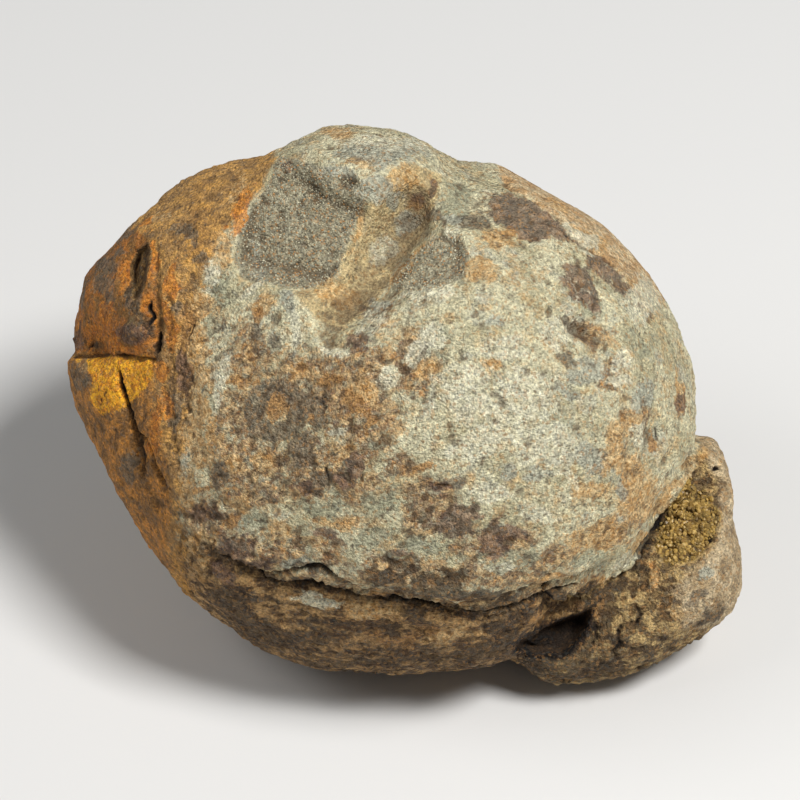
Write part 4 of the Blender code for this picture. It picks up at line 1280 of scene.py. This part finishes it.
# Points that stand out of the blurred skin are lightened, a painted highlight on the ridges.
ridge_highlight = painter.ramp(relief, 0.3, 1.6, 0.0, 0.16)
colour = painter.dim(colour, painter.math("ADD", 1.0, speck, dusty, cloudy, ridge_highlight))
# Some grains are rusty and some are grey.
hue = painter.part(grains["Color"], 1)
colour = painter.over(colour, paint(192, 142, 84), painter.ramp(hue, 0.72, 1.0, 0.0, 0.45))
colour = painter.over(colour, paint(118, 120, 112), painter.ramp(hue, 0.0, 0.28, 0.26, 0.0))
# Painted shade: the hollows of the relief are darkened, and the cracks and the hollow by the snout are
# filled with a near-black painted shadow.
colour = painter.over(colour, paint(84, 64, 44), painter.ramp(relief, -1.0, -0.15, 0.6, 0.0))
colour = painter.over(colour, paint(26, 18, 12), painter.ramp(painter.mask("crevice"), 0.18, 0.85))
painter.put(painter.shader.inputs["Base Color"], colour)
print("colour:", len(painter.tree.nodes), "nodes")

# %% Bump and gloss
lumpy = painter.cloud(0.5, detail=4.0, seed=12.0)
BUMP_HEIGHT = 0.22 * MM
heights = [(painter.dust, 1.8), (grains["Distance"], -0.6), (lumpy, 2.4)]
height = painter.math("ADD", *(painter.math("MULTIPLY", pattern, weight) for pattern, weight in heights))
bump = painter.node("ShaderNodeBump", {"Strength": 1.0, "Distance": BUMP_HEIGHT, "Height": height})
painter.put(painter.shader.inputs["Normal"], bump.outputs[0])
painter.put(painter.shader.inputs["Roughness"], painter.ramp(medium, 0.35, 0.65, 0.70, 0.95))
painter.put(painter.shader.inputs["Specular IOR Level"], 0.35)
mesh.materials.clear()
mesh.materials.append(painter.material)
print("stone material:", len(painter.tree.nodes), "nodes")

# %% [markdown]
# ## Loose grains
#
# On the broken flats the filling is sandstone, whose grains stand up from the surface, and the patch on the
# snout is a crust of small crystals. Both are scattered by one tree, which puts little faceted stones on
# the parts of the skin where a mask is high, turns and sizes each one at random from a fixed seed, and
# gives each a tint of its own.

# %% The scattering tree
scatter = Geometry(
    "Scatter on a zone",
    [
        ("Skin", "NodeSocketObject", None),
        ("Mask", "NodeSocketString", "sand"),
        ("Density", "NodeSocketFloat", 10.0),
        ("Smallest", "NodeSocketFloat", 0.1 * MM),
        ("Largest", "NodeSocketFloat", 0.2 * MM),
        ("Seed", "NodeSocketInt", 1),
        ("Material", "NodeSocketMaterial", None),
    ],
)
SHAPE_SEED = 7
TINT_SEED = 11


def by_lot(low, high, seed):
    """A number for each point, at random between two."""
    return scatter.node("FunctionNodeRandomValue", {2: low, 3: high, "Seed": seed}).outputs[1]


def three_by_lot(low, high, seed):
    """A vector for each point, whose three numbers are drawn at random between two."""
    values = {0: (low, low, low), 1: (high, high, high), "Seed": seed}
    return scatter.node("FunctionNodeRandomValue", values, data_type="FLOAT_VECTOR").outputs[0]


given = scatter.given
ground = scatter.node("GeometryNodeObjectInfo", {"Object": given["Skin"]}).outputs["Geometry"]
amount = scatter.node("GeometryNodeInputNamedAttribute", {"Name": given["Mask"]}).outputs[0]
spread_out = {
    "Mesh": ground,
    "Selection": scatter.math("GREATER_THAN", amount, 0.55),
    "Density": scatter.math("DIVIDE", given["Density"], MM * MM),
    "Seed": given["Seed"],
}
spots = scatter.node("GeometryNodeDistributePointsOnFaces", spread_out).outputs["Points"]
pebble = scatter.node("GeometryNodeMeshIcoSphere", {"Radius": 1.0, "Subdivisions": 1}).outputs[0]
size = by_lot(given["Smallest"], given["Largest"], given["Seed"])
turn = three_by_lot(0.0, math.tau, given["Seed"])
shape = three_by_lot(0.6, 1.3, SHAPE_SEED)
placed = {"Points": spots, "Instance": pebble, "Rotation": turn, "Scale": scatter.times(shape, size)}
grown = scatter.node("GeometryNodeInstanceOnPoints", placed).outputs[0]
grown = scatter.store(grown, "tint", by_lot(0.0, 1.0, TINT_SEED), domain="INSTANCE")
grown = scatter.node("GeometryNodeRealizeInstances", {"Geometry": grown}).outputs[0]
painted = {"Geometry": grown, "Material": given["Material"]}
scatter.put(scatter.result, scatter.node("GeometryNodeSetMaterial", painted).outputs[0])
print("scattering tree:", len(scatter.tree.nodes), "nodes")


# %% Sand on the flats, crystals on the snout
def tinted(name, colours, roughness):
    """A material that gives each grain one of a few colours, by its tint."""
    grain_paint = Painter(name)
    tint = grain_paint.mask("tint")
    mixed = paint(*colours[0])
    for step, shade in enumerate(colours[1:], start=1):
        edge = step / len(colours)
        mixed = grain_paint.over(mixed, paint(*shade), grain_paint.ramp(tint, edge - 0.02, edge + 0.02))
    mixed = grain_paint.dim(mixed, grain_paint.ramp(grain_paint.dust, 0.3, 0.7, 0.8, 1.15))
    grain_paint.put(grain_paint.shader.inputs["Base Color"], mixed)
    grain_paint.put(grain_paint.shader.inputs["Roughness"], roughness)
    return grain_paint.material


def grown_on(name, mask, density, smallest, largest, seed, material):
    """A piece of grains: how many to a square millimetre, and their smallest and largest radius in mm."""
    piece = bpy.data.objects.new(name, bpy.data.meshes.new(name))
    bpy.context.scene.collection.objects.link(piece)
    values = {"Density": density, "Smallest": smallest * MM, "Largest": largest * MM, "Seed": seed}
    scatter.use(piece, "scatter", Skin=stone, Mask=mask, Material=material, **values)
    made = bake_modifiers(piece)
    made.materials.clear()
    made.materials.append(material)
    print(name + ":", len(made.polygons), "faces")
    return piece


SAND_COLOURS = [
    (202, 196, 168), (160, 152, 126), (136, 128, 104), (182, 172, 142), (188, 142, 90), (108, 100, 80),
    (150, 148, 130),
]
CRYSTAL_COLOURS = [
    (184, 150, 80), (160, 130, 68), (140, 112, 58), (200, 168, 100), (172, 140, 74), (120, 96, 52),
]
sand_paint = tinted("sand_grains", SAND_COLOURS, 0.8)
crystal_paint = tinted("yellow_crystals", CRYSTAL_COLOURS, 0.45)
sand = grown_on("fossil_sand", "sand", 22.0, 0.04, 0.11, 3, sand_paint)
crystals = grown_on("fossil_crystals", "crystal", 9.0, 0.10, 0.28, 5, crystal_paint)

# %% [markdown]
# ## Floor and light
#
# A pale sheet lies under the stone. A large soft lamp hangs over the right shoulder of the camera and gives
# the highlights and shadows, a weaker one stands at the upper left, and a dim, faintly blue world fills the
# shadows.

# %% The floor
bpy.ops.mesh.primitive_plane_add(size=6.0, location=(0.0, 0.0, 0.0))
floor = bpy.context.object
floor.name = "floor"
floor_paint = bpy.data.materials.new("pale_paper")
floor_paint.use_nodes = True
floor_shader = floor_paint.node_tree.nodes["Principled BSDF"]
floor_shader.inputs["Base Color"].default_value = (0.74, 0.73, 0.71, 1.0)
floor_shader.inputs["Roughness"].default_value = 0.9
floor.data.materials.append(floor_paint)
print("floor:", floor.dimensions[0], "m wide")

# %% Lamps
LAMP_DISTANCE = 0.60


def lamp(name, towards, size, power):
    """A square soft lamp that shines at the stone, from a direction given on the bench."""
    light = bpy.data.lights.new(name, "AREA")
    light.size = size
    light.energy = power
    made = bpy.data.objects.new(name, light)
    bpy.context.scene.collection.objects.link(made)
    ray = Vector(TURN @ (np.array(towards) / np.linalg.norm(towards)))
    made.location = Vector(BENCH_MIDDLE) + ray * LAMP_DISTANCE
    made.rotation_euler = ray.to_track_quat("Z", "Y").to_euler()
    return made


lamps = [lamp("key", (0.42, 0.42, 0.80), 0.16, 3.85), lamp("fill", (-0.65, 0.45, 0.60), 0.30, 0.9)]
world = bpy.data.worlds.new("studio")
bpy.context.scene.world = world
world.use_nodes = True
world.node_tree.nodes["Background"].inputs["Color"].default_value = (0.9, 0.95, 1.0, 1.0)
world.node_tree.nodes["Background"].inputs["Strength"].default_value = 0.13
print("lamps:", {made.name: round(made.data.energy, 2) for made in lamps})

# %% [markdown]
# ## Hand over
#
# The stone rides on the frame's one body and stands for its one solid.

# %% Finish
for piece in (stone, sand, crystals):
    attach(piece, "root")
    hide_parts("fossil")
